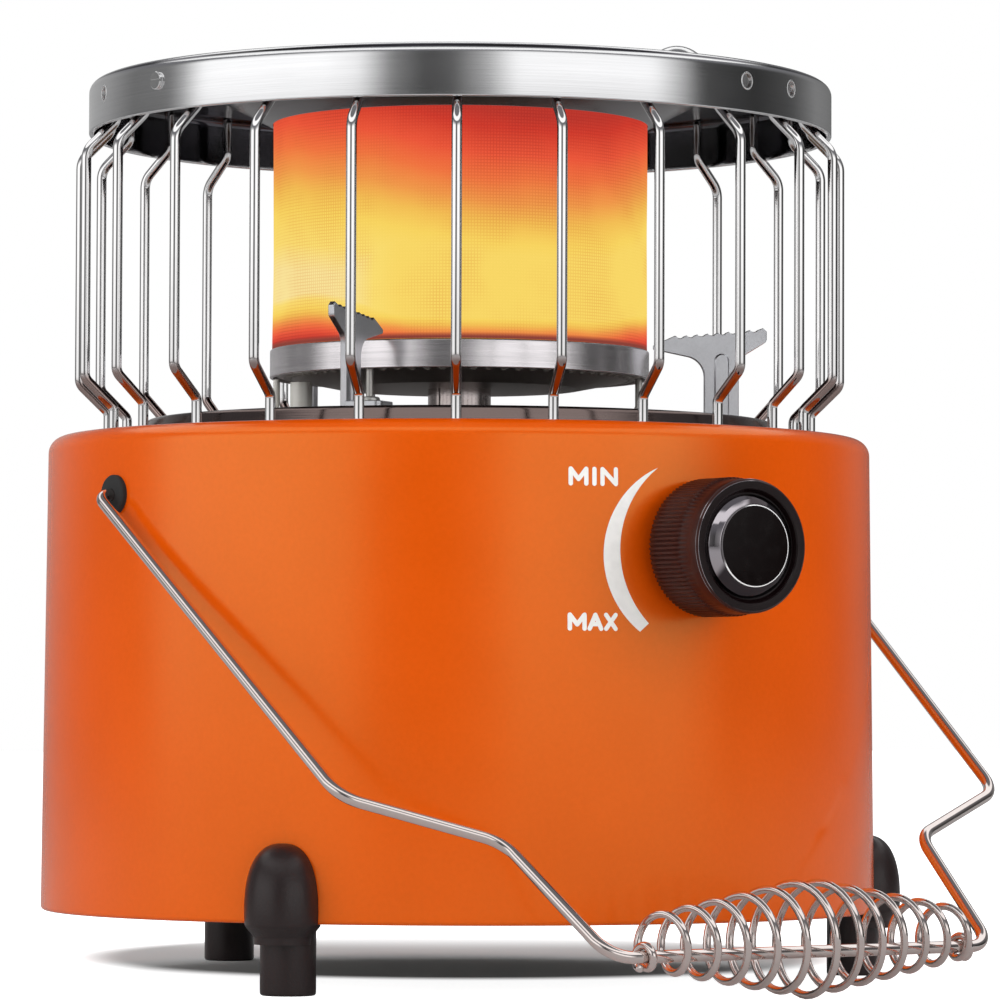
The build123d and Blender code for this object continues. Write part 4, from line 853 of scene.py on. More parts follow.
def inset_outline(outline: Outline, inset: float) -> Outline:
    """Closed anticlockwise outline, moved inwards by a small distance.

    Args:
        outline: the outline's points.
        inset: the distance.
    Returns:
        As many points as before.
    """
    if inset == 0:
        return list(outline)
    moved = []
    for index, point in enumerate(outline):
        before, here = Vector(outline[index - 1]), Vector(point)
        after = Vector(outline[(index + 1) % len(outline)])
        first, second = (here - before).normalized(), (after - here).normalized()
        normals = Vector((-first.y, first.x)), Vector((-second.y, second.x))
        way = normals[0] + normals[1]
        way = way / max(0.5, way.length_squared / 2)
        spot = here + way * inset
        moved.append((spot.x, spot.y))
    return moved


def placed(name: str, data: bpy.types.ID) -> bpy.types.Object:
    """New object in the scene for a mesh, a lamp or a camera."""
    made = bpy.data.objects.new(name, data)
    bpy.context.scene.collection.objects.link(made)
    return made


def dress(finish: Finish, *nodes: str) -> None:
    """Give CAD nodes that stay in view their finish."""
    for node in nodes:
        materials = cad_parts[node].data.materials
        materials.clear()
        materials.append(finish.material())
        log.info("dressed %s in %s", node, finish.name)


# ---------------------------------------------------------------------------- case
@dataclass
class Case:
    """Orange drum, its printed scale, feet, grommets and hidden fixings."""

    radius: float = 100.0
    taper: float = 1.2
    lift: float = 16.0
    top: float = 129.0
    wall: float = 1.2
    rim_round: float = 4.0
    mouth: float = 87.0
    lip: float = 4.0
    knob_azimuth: float = -4.0
    knob_height: float = 100.5
    pivot_height: float = 113.0
    ink: float = 0.07
    pad_reach: float = 99.75
    pad_radius: float = 8.65
    pad_crown: float = 34.0
    pad_waist: float = 14.0
    pad_swell: float = 4.0
    pad_power: float = 2.5
    pad_steps: int = 20
    neck_radius: float = 6.5
    leg_reach: float = 96.8
    leg_radius: float = 6.3
    leg_top: float = 15.8
    clearance: float = 0.05
    grommet_bore: float = 1.45
    grommet_neck: float = 3.2
    grommet_radius: float = 4.65
    grommet_flange: float = 1.1
    foot_azimuths: dict[str, float] = field(
        default_factory=lambda: {"front_left": -60.0, "front_right": 60.0, "rear": 180.0})

    def radius_at(self, height: float) -> float:
        """Outside radius of the drum at a height."""
        return self.radius - self.taper * (height - self.lift) / (self.top - self.lift)

    def build(self) -> None:
        """Make and dress every piece of the case."""
        self.drum()
        self.scale()
        for place, azimuth in self.foot_azimuths.items():
            self.foot(place, azimuth)
        self.grommets()
        dress(ZINC, "bottom_plate", "case_screws", "panel_nuts")

    def drum(self) -> None:
        """Drum with a rolled rim and a turned-down lip."""
        rim, lip, under = self.radius - self.taper, self.top - self.lip, self.top - self.wall
        outline = [
            (self.radius, self.lift), (rim, self.top), (self.mouth, self.top), (self.mouth, lip),
            (self.mouth + self.wall, lip), (self.mouth + self.wall, under), (rim - self.wall, under),
            (self.radius - self.wall, self.lift),
        ]
        rounds = {0: 1.0, 1: self.rim_round, 2: self.wall, 6: self.rim_round - self.wall}
        Shape().turned(rounded(outline, rounds, 9.0), 360).piece("case_drum", ORANGE, Body.CASE, "body_shell")

    def printed(self, name: str, cells: Iterable[tuple[list[Point2], list[Sequence[int]]]]) -> None:
        """Ink on the drum.

        Args:
            name: the piece's name.
            cells: flat patches as points to the right of and above the knob's axis, with their faces.
        """
        shape = Shape()
        for points, faces in cells:
            start = len(shape.vertices)
            for right, up in points:
                height = self.knob_height + up
                reach = self.radius_at(height) + self.ink
                turn = math.degrees(math.asin(right / reach))
                shape.vertices.append(at(self.knob_azimuth + turn, reach, height))
            shape.faces += [[start + index for index in face] for face in faces]
        shape.piece(name, INK, Body.CASE)

    def scale(self) -> None:
        """Crescent and the words at its two ends."""
        count = 40
        outer = arc_through((-10.6, 17.9), (-23.9, -0.6), (-15.3, -19.0), count)
        inner = arc_through((-10.6, 17.9), (-20.0, 0.4), (-13.1, -17.1), count)
        faces = [[count + index, count + index + 1, index + 1, index] for index in range(count - 1)]
        self.printed("dial_crescent", [(outer + inner, faces)])
        self.printed("dial_min", [lettering("MIN", (-31.8, 13.5), 4.3, 0.85)])
        self.printed("dial_max", [lettering("MAX", (-32.1, -18.9), 4.1, 0.15)])

    def foot(self, place: str, azimuth: float) -> None:
        """Moulded foot: a domed pad on the drum's side and a leg under its edge.

        Args:
            place: the foot's place, as in its node's name.
            azimuth: where it stands.
        """
        low, widest = self.pad_waist - 2.5, self.pad_waist + self.pad_swell
        pad_outline = [(0.0, low), (self.neck_radius - 0.1, low), (self.neck_radius, self.pad_waist - 0.8),
                       (self.pad_radius - 0.15, self.pad_waist + 1.6)]
        for step in range(self.pad_steps + 1):
            rise = math.sin(math.pi / 2 * step / self.pad_steps)
            share = (1 - rise ** self.pad_power) ** (1 / self.pad_power)
            pad_outline.append((self.pad_radius * share, widest + (self.pad_crown - widest) * rise))
        wide, top = self.leg_radius, self.leg_top
        leg_outline = [(0.0, 0.0), (wide, 0.0), (wide, top), (0.0, top)]
        pad_place = Matrix.Translation(at(0.0, self.pad_reach, 0.0))
        leg_place = Matrix.Translation(at(0.0, self.leg_reach, 0.0))
        pad = Shape().turned(rounded(pad_outline, {2: 1.0, 3: 1.4}, 6.0), 72, pad_place)
        pad.turned(rounded(leg_outline, {1: 0.7}, 20.0), 72, leg_place)
        for vertex in pad.vertices:
            reach = math.hypot(vertex.x, vertex.y)
            clear = self.radius_at(vertex.z) + self.clearance
            if vertex.z > self.lift - 0.1 and reach < clear:
                vertex.x *= clear / reach
                vertex.y *= clear / reach
        pad._put(0, Matrix.Rotation(math.radians(azimuth), 4, "Z"))
        pad.piece(f"moulded_foot_{place}", RUBBER_FOOT, Body.CASE, f"foot_{place}")

    def grommets(self) -> None:
        """Two rubber grommets round the bail's ends."""
        bore, neck, radius = self.grommet_bore, self.grommet_neck, self.grommet_radius
        inside = self.radius_at(self.pivot_height + radius) - self.wall
        inner = math.sqrt(inside ** 2 - radius ** 2) - self.clearance
        outer = self.radius_at(self.pivot_height - radius) + self.clearance
        back, seat, front = inner - self.grommet_flange, outer - 0.5, outer + self.grommet_flange
        outline = [
            (bore, back), (radius, back), (radius, inner), (neck, inner), (neck, seat), (radius, seat),
            (radius, front), (bore, front),
        ]
        shape = Shape()
        for side in (-90, 90):
            shape.turned(rounded(outline, {1: 0.5, 6: 0.6}, 20.0), 64, outward_frame(side, self.pivot_height))
        shape.piece("rubber_grommets", RUBBER, Body.CASE, "grommets")


def arc_through(first: Point2, middle: Point2, last: Point2, count: int) -> list[Point2]:
    """Arc through three points.

    Args:
        first: where it starts.
        middle: a point on the way.
        last: where it ends.
        count: number of steps.
    Returns:
        Points along the arc.
    """
    (ax, ay), (bx, by), (cx, cy) = first, middle, last
    scale = 2 * (ax * (by - cy) + bx * (cy - ay) + cx * (ay - by))
    squares = [x * x + y * y for x, y in (first, middle, last)]
    centre_x = (squares[0] * (by - cy) + squares[1] * (cy - ay) + squares[2] * (ay - by)) / scale
    centre_y = (squares[0] * (cx - bx) + squares[1] * (ax - cx) + squares[2] * (bx - ax)) / scale
    radius = math.hypot(ax - centre_x, ay - centre_y)
    angles = [math.atan2(y - centre_y, x - centre_x) % (2 * math.pi) for x, y in (first, last)]
    return [
        (centre_x + radius * math.cos(angle), centre_y + radius * math.sin(angle))
        for angle in np.linspace(angles[0], angles[1], count)
    ]


LETTER_STROKES: dict[str, tuple[float, list[list[Point2]]]] = {
    "M": (1.05, [[(0, 0), (0, 1), (0.525, 0.3), (1.05, 1), (1.05, 0)]]),
    "I": (0.0, [[(0, 0), (0, 1)]]),
    "N": (0.95, [[(0, 0), (0, 1), (0.95, 0), (0.95, 1)]]),
    "A": (0.85, [[(0, 0), (0.425, 1), (0.85, 0)], [(0.15, 0.33), (0.70, 0.33)]]),
    "X": (0.72, [[(0, 0), (0.72, 1)], [(0, 1), (0.72, 0)]]),
}


def lettering(word: str, corner: Point2, height: float, gap: float,
              bold: float = 1.0) -> tuple[list[Point2], list[Sequence[int]]]:
    """Letters drawn with a round pen, as flat faces.

    Args:
        word: what to write.
        corner: lower left corner.
        height: size of its capitals.
        gap: space between letters.
        bold: width of the pen.
    Returns:
        Points and faces.
    """
    points: list[Point2] = []
    faces: list[Sequence[int]] = []
    left, low, tall = corner[0] + bold / 2, corner[1] + bold / 2, height - bold
    for letter in word:
        width, strokes = LETTER_STROKES[letter]
        for stroke in strokes:
            for first, last in zip(stroke, stroke[1:]):
                ends = [(left + x * tall, low + y * tall) for x, y in (first, last)]
                start = len(points)
                points += capsule(*ends, bold / 2, 8)
                faces.append(range(start, len(points)))
        left += width * tall + bold + gap
    return points, faces


# ---------------------------------------------------------------------------- deck and burner
@dataclass
class Deck:
    """Stainless deck, burner ring and cup, stays, pot supports and the spark electrode."""

    seat: float = 125.0
    top: float = 133.2
    plateau: float = 75.5
    slope: float = 2.5
    sheet: float = 0.8
    flange: float = 93.0
    burner_top: float = 150.5
    band_radius: float = 45.8
    band_height: float = 6.8
    support_inner: float = 47.4
    support_outer: float = 75.3
    stem_inner: float = 59.9
    stem_outer: float = 68.4
    support_sheet: float = 1.5
    tooth_pitch: float = 2.6
    tooth_radius: float = 1.15
    inner_top: float = 154.5
    outer_top: float = 157.2
    tube_hole: float = 7.75
    vent_count: int = 18
    vent_circle: float = 54.0
    vent_radius: float = 3.0
    thin: float = 0.7
    ledge: float = 2.6
    cup_radius: float = 45.0
    cup_floor: float = 29.0
    cup_bore: float = 6.8
    stay_circle: float = 43.4
    stay_radius: float = 0.9
    port_count: int = 72
    port_circle: float = 41.6

    def build(self) -> None:
        """Make and dress every piece of the deck."""
        self.pan()
        self.band()
        self.cup()
        for place, azimuth in (("left", -60.0), ("right", 60.0), ("rear", 180.0)):
            self.support(place, azimuth)
        dress(BURNER_STEEL, "burner_port_plate")
        dress(TUBE_STEEL, "mixing_tube")
        dress(ZINC, "pot_support_rivets")
        dress(CERAMIC, "spark_electrode")

    def pan(self) -> None:
        """Pressed deck with vents in its raised middle."""
        foot, under = self.plateau + self.slope, self.seat - self.sheet
        outline = [
            (self.flange, self.seat), (foot, self.seat), (self.plateau, self.top), (self.tube_hole, self.top),
            (self.tube_hole, self.top - self.sheet), (self.plateau - self.sheet, self.top - self.sheet),
            (foot - self.sheet, under), (self.flange, under),
        ]
        shape = Shape().turned(rounded(outline, {1: 0.6, 2: 1.2, 5: 0.6, 6: 1.2}, 12.0), 288)
        pan = shape.piece("pressed_deck", DECK_STEEL_PAINTED_DARK, Body.CASE, "deck_pan")
        cutter = Shape()
        drill = [(0.0, 128.0), (self.vent_radius, 128.0), (self.vent_radius, 138.0), (0.0, 138.0)]
        for index in range(self.vent_count):
            azimuth = 360.0 / self.vent_count * (index + 0.5)
            cutter.turned(drill, 32, Matrix.Translation(at(azimuth, self.vent_circle, 0.0)))
        cut(pan, cutter)

    def band(self) -> None:
        """Ring round the burner with a rolled lower edge and an inward ledge."""
        low, inner = self.burner_top - self.band_height, self.band_radius - self.thin
        under, mouth = self.burner_top - self.thin, inner - self.ledge
        outline = [
            (self.band_radius, low + 0.7), (self.band_radius, self.burner_top), (mouth, self.burner_top),
            (mouth, under), (inner, under), (inner, low), (self.band_radius + 0.08, low),
        ]
        shape = Shape().turned(rounded(outline, {1: 0.45, 6: 0.3}, 15.0), 256)
        shape.piece("burner_ring", BAND_STEEL, Body.CASE, "burner_band")

    def cup(self) -> None:
        """Shallow bowl under the ports with a row of perforations and three stay rods."""
        rim, bend, floor = self.burner_top - self.thin, self.burner_top - 6.1, self.burner_top - 9.2
        inside, above = self.cup_radius - self.thin, floor + self.thin
        outline = [
            (self.cup_radius, rim), (inside, rim), (inside, bend + 0.3), (self.cup_floor, above),
            (self.cup_bore, above), (self.cup_bore, floor), (self.cup_floor, floor), (self.cup_radius, bend),
        ]
        shape = Shape().turned(rounded(outline, {2: 0.6, 7: 1.2, 6: 4.0, 3: 4.0}, 10.0), 256)
        for azimuth in (-66.0, 54.0, 174.0):
            ends = [at(azimuth, self.stay_circle, height) for height in (self.top - 2.5, bend - 0.1)]
            shape.tube(ends, self.stay_radius, 24)
        rim_ring = [(0.62, -0.12), (0.62, 0.05), (0.95, 0.05), (0.95, -0.12)]
        slope = Vector((0, bend - floor, self.cup_radius - self.cup_floor)).normalized()
        tilt = Vector((0, 0, 1)).rotation_difference(slope).to_matrix().to_4x4()
        for index in range(self.port_count):
            azimuth = 360.0 / self.port_count * (index + 0.5)
            middle = Matrix.Translation(at(azimuth, self.port_circle, floor + 2.38))
            shape.turned(rim_ring, 12, middle @ Matrix.Rotation(math.radians(azimuth), 4, "Z") @ tilt)
        shape.piece("burner_bowl", BURNER_STEEL, Body.CASE, "burner_cup")

    def support(self, place: str, azimuth: float) -> None:
        """Toothed plate with an embossed rib and a riveted foot tab.

        Args:
            place: the support's place, as in its node's name.
            azimuth: where it stands.
        """
        inner_top, outer_top, tip, nose_run = self.inner_top, self.outer_top, 3.4, 5.2
        nose_top, nose_low = inner_top - 1.9, inner_top - 2.9
        lower = [
            (self.support_outer, outer_top - tip), (self.stem_outer, outer_top - tip - 4.3),
            (self.stem_outer, self.top), (self.stem_inner, self.top),
            (self.stem_inner, nose_low - 2.5), (self.support_inner, nose_low), (self.support_inner, nose_top),
        ]
        rise, run = outer_top - inner_top, self.support_outer - self.support_inner
        teeth: Outline = [(self.support_inner + nose_run, inner_top + rise * nose_run / run)]
        for index in range(int((run - nose_run) / self.tooth_pitch)):
            middle = self.support_inner + nose_run + (index + 0.5) * self.tooth_pitch
            level = inner_top + rise * (middle - self.support_inner) / run
            for angle in range(-54, 55, 18):
                side = math.radians(angle)
                teeth.append((middle + self.tooth_radius * math.sin(side),
                              level + 0.45 - self.tooth_radius * math.cos(side)))
        teeth.append((self.support_outer - 0.9, outer_top - 0.05))
        corners = teeth + [(self.support_outer, outer_top - 0.9)] + lower
        first = len(teeth) + 1
        rounds = {first: 1.2, first + 1: 3.0, first + 4: 5.0, first + 5: 0.4, first + 6: 0.4}
        outline = rounded(corners, rounds, 8.0)
        stand = Matrix.Rotation(math.radians(azimuth), 4, "Z") @ Matrix(
            ((0, 0, -1, 0), (-1, 0, 0, 0), (0, 1, 0, 0), (0, 0, 0, 1)))
        shape = Shape().plate(outline[::-1], self.support_sheet, stand, 0.16)
        middle = (self.stem_inner + self.stem_outer) / 2
        rib = capsule((middle, self.top + 2.2), (middle, 149.0), 1.8, 10)
        shape.plate(rib, self.support_sheet + 1.0, stand, 0.35)
        tab_outline = rounded([(0.0, -middle - 4.25), (8.9, -middle - 4.25), (8.9, -middle + 4.25),
                               (0.0, -middle + 4.25)], {1: 1.6, 2: 1.6}, 15.0)
        lay = Matrix.Rotation(math.radians(azimuth), 4, "Z") @ Matrix.Translation((0.4, 0, self.top + 0.75))
        shape.plate(tab_outline, self.support_sheet, lay, 0.16)
        shape.piece(f"toothed_support_{place}", SUPPORT_STEEL, Body.CASE, f"pot_support_{place}")


def capsule(start: Point2, end: Point2, radius: float, steps: int) -> Outline:
    """Anticlockwise outline of a slot with round ends.

    Args:
        start: middle of its first end.
        end: middle of its last end.
        radius: half its width.
        steps: steps of each round end.
    Returns:
        The outline.
    """
    heading = math.atan2(end[1] - start[1], end[0] - start[0])
    outline: Outline = []
    for (x, y), turn in ((start, heading + math.pi / 2), (end, heading - math.pi / 2)):
        outline += [(x + radius * math.cos(turn + a), y + radius * math.sin(turn + a))
                    for a in np.linspace(0, math.pi, steps)]
    return outline


def cut(target: bpy.types.Object, cutter: Shape) -> None:
    """Cut a shape out of a piece and keep its shading.

    Args:
        target: the piece.
        cutter: what to take away.
    """
    mesh = cutter.mesh("cutter")
    tool = placed("cutter", mesh)
    modifier = target.modifiers.new("cut", "BOOLEAN")
    modifier.operation, modifier.solver, modifier.object = "DIFFERENCE", "EXACT", tool
    made = bpy.data.meshes.new_from_object(target.evaluated_get(bpy.context.evaluated_depsgraph_get()))
    target.modifiers.clear()
    old, target.data = target.data, made
    made.name = target.name
    bpy.data.objects.remove(tool)
    for unused in (mesh, old):
        bpy.data.meshes.remove(unused)


# ---------------------------------------------------------------------------- radiant head
@dataclass
class RadiantHead:
    """Cap, deflector, glowing mesh, guard wires and their ring, which lift off together."""

    cap_radius: float = 89.7
    cap_top: float = 214.5
    cap_bottom: float = 202.0
    sheet: float = 0.8
    deflector_sheet: float = 0.6
    hem: float = 1.3
    ring_low: float = 125.0
    ring_height: float = 2.5
    wire_radius: float = 1.2
    wire_count: int = 24
    first_azimuth: float = 7.5
    foot_reach: float = 84.8
    foot_width: float = 1.4
    bulge: float = 7.0
    bend_levels: tuple[float, ...] = (7.9, 14.8, 69.0, 76.2)
    bend_radii: tuple[float, ...] = (2.0, 3.0, 5.0, 3.5)
    tip: float = 0.36
    mesh_radius: float = 45.3
    mesh_low: float = 150.6
    collar_low: float = 205.1
    collar_top: float = 209.7
    hole_azimuths: tuple[float, ...] = (-107.0, 10.5, 22.5, 131.5, 143.5)
    screw_azimuth: float = -88.5
    hole_radius: float = 1.75
    hole_drop: float = 5.3

    def build(self) -> None:
        """Make and dress every piece of the head."""
        self.cap()
        self.fasteners()
        self.deflector()
        self.sleeve()
        self.ring()
        for index in range(self.wire_count):
            self.wire(index)

    def cap(self) -> None:
        """Shallow inverted pan with a rounded edge, a hem and small holes in its skirt."""
        under, inner = self.cap_top - self.sheet, self.cap_radius - self.sheet
        hem, fold = self.cap_radius - self.hem, self.cap_bottom + 1.2
        outline = [
            (0.0, self.cap_top), (self.cap_radius, self.cap_top), (self.cap_radius, self.cap_bottom),
            (hem, self.cap_bottom), (hem, fold), (inner, fold), (inner, under), (0.0, under),
        ]
        rounds = {1: 2.6, 2: 0.4, 3: 0.4, 6: 1.8}
        shape = Shape().turned(rounded(outline, rounds, 9.0), 360)
        cap = shape.piece("guard_top", CAP_STEEL, Body.HEAD, "guard_cap")
        cutter, rims = Shape(), Shape()
        drill = [(0.0, 84.0), (self.hole_radius, 84.0), (self.hole_radius, 94.0), (0.0, 94.0)]
        inside, outside = self.hole_radius - 0.05, self.hole_radius + 0.35
        lip = [(inside, self.cap_radius - 1.0), (outside, self.cap_radius - 0.2),
               (outside, self.cap_radius + 0.06), (inside, self.cap_radius + 0.12)]
        for azimuth in (*self.hole_azimuths, self.screw_azimuth):
            frame_there = outward_frame(azimuth, self.cap_top - self.hole_drop)
            cutter.turned(drill, 32, frame_there)
            rims.turned(rounded(lip, {2: 0.1, 3: 0.1}, 30.0), 32, frame_there)
        cut(cap, cutter)
        rims.piece("hole_rims", HOLE_RIM, Body.HEAD)

    def fasteners(self) -> None:
        """Dress the CAD node of the three domed rivets on the cap and the slotted screw in its skirt."""
        dress(RIM_STEEL, "cap_fasteners")

    def deflector(self) -> None:
        """Pressed deflector with a cone and a collar round the mesh."""
        under, thin, brim, cone = self.cap_top - self.sheet, self.deflector_sheet, 79.0, 61.0
        inner, outer = self.mesh_radius + 0.1, self.mesh_radius + 0.1 + thin
        low, top = self.collar_low, self.collar_top
        outline = [
            (brim, under), (cone, under), (outer, low + 0.8), (outer, top + thin), (0.0, top + thin),
            (0.0, top), (inner, top), (inner, low), (outer, low), (cone + thin, under - thin),
            (brim, under - thin),
        ]
        rounds = {1: 3.0, 2: 0.5, 9: 3.0}
        shape = Shape().turned(rounded(outline, rounds, 12.0), 256)
        shape.piece("pressed_deflector", DEFLECTOR_STEEL_PAINTED_SHADE, Body.HEAD, "heat_deflector")

    def sleeve(self) -> None:
        """Woven sleeve with slight dents."""
        rows, height = 48, self.collar_top - self.mesh_low
        levels = [self.mesh_low + height * index / rows for index in range(rows + 1)]
        outline = [(self.mesh_radius, level) for level in levels]
        outline += [(self.mesh_radius - 0.5, level) for level in reversed(levels)]
        shape = Shape().turned(outline, 384)
        for vertex in shape.vertices:
            azimuth = math.atan2(vertex.x, -vertex.y)
            share = (vertex.z - self.mesh_low) / height
            ripple = 0.10 * math.sin(7 * azimuth + 3 * share) + 0.06 * math.sin(17 * azimuth - 9 * share)
            dent = math.sin(math.pi * share) * (ripple - 0.16)
            reach = math.hypot(vertex.x, vertex.y)
            vertex.x *= 1 + dent / reach
            vertex.y *= 1 + dent / reach
        sleeve = shape.piece("woven_sleeve", GLOW, Body.HEAD, "mesh_sleeve", crease=60.0)
        sleeve.visible_glossy = False

    def ring(self) -> None:
        """Flat ring under the guard wires."""
        low, high = self.ring_low, self.ring_low + self.ring_height
        inner, outer = self.foot_reach - self.foot_width, self.foot_reach + self.foot_width
        outline = [(inner, low), (outer, low), (outer, high), (inner, high)]
        shape = Shape().turned(rounded(outline, {index: 0.45 for index in range(4)}, 20.0), 300)
        shape.piece("guard_foot_ring", WIRE_STEEL, Body.HEAD, "guard_bottom_ring")

    def wire(self, index: int) -> None:
        """One bent guard wire.

        Args:
            index: its number, counted round the guard.
        """
        azimuth = self.first_azimuth + 360.0 * index / self.wire_count
        foot = self.ring_low + self.ring_height
        head = self.foot_reach - 0.3
        side = self.foot_reach + self.bulge
        heights = [foot, *(foot + level for level in self.bend_levels), self.cap_top - self.sheet]
        reaches = [self.foot_reach, self.foot_reach, side, side, head, head]
        corners = [at(azimuth, reach, height) for reach, height in zip(reaches, heights)]
        path = filleted(corners, self.bend_radii, 7.0)
        path[0] = path[0] + Vector((0, 0, self.tip))
        path[-1] = path[-1] - Vector((0, 0, self.tip))
        name = f"{index + 1:02d}"
        Shape().tube(path, self.wire_radius, 24).piece(
            f"bent_wire_{name}", WIRE_STEEL, Body.HEAD, f"guard_wire_{name}")


# ---------------------------------------------------------------------------- knob
@dataclass
class Knob:
    """Control knob, its glossy disc and the valve parts behind it."""

    case: Case
    gap: float = 2.5
    length: float = 17.9
    rear_radius: float = 15.6
    front_radius: float = 15.0
    knurl_length: float = 11.8
    knurls: int = 90
    knurl_depth: float = 0.42
    disc_radius: float = 9.4
    flank_radius: float = 11.7
    dish_radius: float = 12.6
    bevel: float = 0.5
    dish_depth: float = 1.4
    disc_thickness: float = 2.8
    recess_radius: float = 12.4
    recess_depth: float = 6.4

    @property
    def rear(self) -> float:
        """How far the knob's rear edge is from the upright axis."""
        return self.case.radius_at(self.case.knob_height) + self.gap

    def frame_out(self) -> Matrix:
        """Frame of the knob's axis."""
        return outward_frame(self.case.knob_azimuth, self.case.knob_height)

    def build(self) -> None:
        """Make and dress the knob."""
        self.skirt()
        self.front()
        self.disc()
        dress(BRASS, "valve_stem", "valve_body")
        dress(ZINC, "valve_plunger")

    def skirt(self) -> None:
        """Knurled skirt and smooth collar."""
        rear, wide, slim, recess = self.rear, self.rear_radius, self.front_radius, self.recess_radius
        end, front, floor = rear + self.knurl_length, rear + self.length, rear + self.recess_depth
        segments = self.knurls * 8
        # Radius, height and share of the knurl's depth at each ring, from the recess round to the front.
        levels: list[tuple[float, float, float]] = [
            (recess, floor, 0.0), (recess, rear + 0.3, 0.0), (recess + 0.3, rear, 0.0),
            (wide - 0.5, rear, 0.3), (wide, rear + 0.5, 1.0),
        ]
        levels += [(wide, rear + 0.5 + (end - rear - 0.9) * index / 6, 1.0) for index in range(1, 7)]
        levels += [
            (wide - 0.12, end - 0.12, 0.8), (slim + 0.16, end + 0.25, 0.0), (slim + 0.1, front - 3.0, 0.0),
            (slim, front - 0.5, 0.0), (slim - 0.15, front - 0.15, 0.0), (slim - 0.5, front, 0.0),
        ]
        rows = []
        for radius, height, share in levels:
            row = []
            for index in range(segments):
                angle = 2 * math.pi * index / segments
                groove = abs(math.cos(angle * self.knurls / 2)) ** 3
                reach = radius - share * self.knurl_depth * groove
                row.append(Vector((reach * math.cos(angle), reach * math.sin(angle), height)))
            rows.append(row)
        shape = Shape()
        shape._add([row[::-1] for row in rows], True, False)
        shape.turned([(0.0, floor), (recess, floor), (recess, floor + 0.2), (0.0, floor + 0.2)], 64)
        shape._put(0, self.frame_out())
        shape.piece("knurled_knob", KNOB_SKIRT, Body.KNOB, "knob", crease=50.0)

    def front(self) -> None:
        """Rim with a dish inside it, and the glossy flank that climbs from the dish to the disc, with a
        painted highlight on the upper left of the flank and the rim's edge.
        """
        front = self.rear + self.length
        floor, back = front - self.dish_depth, front - 2.4
        rim, inner = self.front_radius - self.bevel, self.flank_radius - 2.0
        dish = [
            (rim, front - 0.4), (rim, front), (self.dish_radius + 0.3, front),
            (self.dish_radius, front - 0.3), (self.flank_radius + 0.4, floor), (inner, floor), (inner, back),
            (rim, back),
        ]
        shape = Shape().turned(rounded(dish, {2: 0.2, 3: 0.6, 4: 0.5}, 12.0), 160, self.frame_out())
        shape.piece("knob_dish", KNOB_FRONT, Body.KNOB)
        top = floor + self.disc_thickness - 0.35
        bulge = self.flank_radius - self.disc_radius
        flank = [(self.flank_radius, floor), (self.flank_radius - 0.12 * bulge, floor + 0.9),
                 (self.disc_radius + 0.45 * bulge, floor + 1.75), (self.disc_radius, top),
                 (self.disc_radius - 1.0, top), (self.disc_radius - 1.0, floor)]
        edge = [(self.front_radius + 0.03, front - self.bevel), (rim + 0.03, front + 0.03),
                (rim - 0.2, front - 0.1), (self.front_radius - 0.3, front - self.bevel)]
        shape = Shape().turned(rounded(flank, {1: 0.5, 2: 0.5, 3: 0.2}, 10.0), 160, self.frame_out())
        shape.turned(edge, 160, self.frame_out()).piece("knob_flank", KNOB_EDGE_PAINTED_HIGHLIGHT, Body.KNOB)

    def disc(self) -> None:
        """Glossy disc in the middle of the dish, ringed by a thin edge painted white as a highlight line."""
        top = self.rear + self.length - self.dish_depth + self.disc_thickness
        radius = self.disc_radius - 0.25
        outline = [(0.0, top - 1.0), (radius, top - 1.0), (radius, top), (0.0, top)]
        shape = Shape().turned(rounded(outline, {2: 0.3}, 9.0), 160, self.frame_out())
        shape.piece("gloss_disc", KNOB_FACE, Body.KNOB, "knob_face")
        # The edge ring is a painted highlight: white round the right and bottom, dark on the upper left.
        edge = [(radius + 0.02, top - 0.32), (radius + 0.02, top - 0.06), (radius - 0.20, top + 0.02),
                (radius - 0.22, top - 0.32)]
        Shape().turned(edge, 160, self.frame_out()).piece("disc_edge", DISC_EDGE_PAINTED_HIGHLIGHT, Body.KNOB)


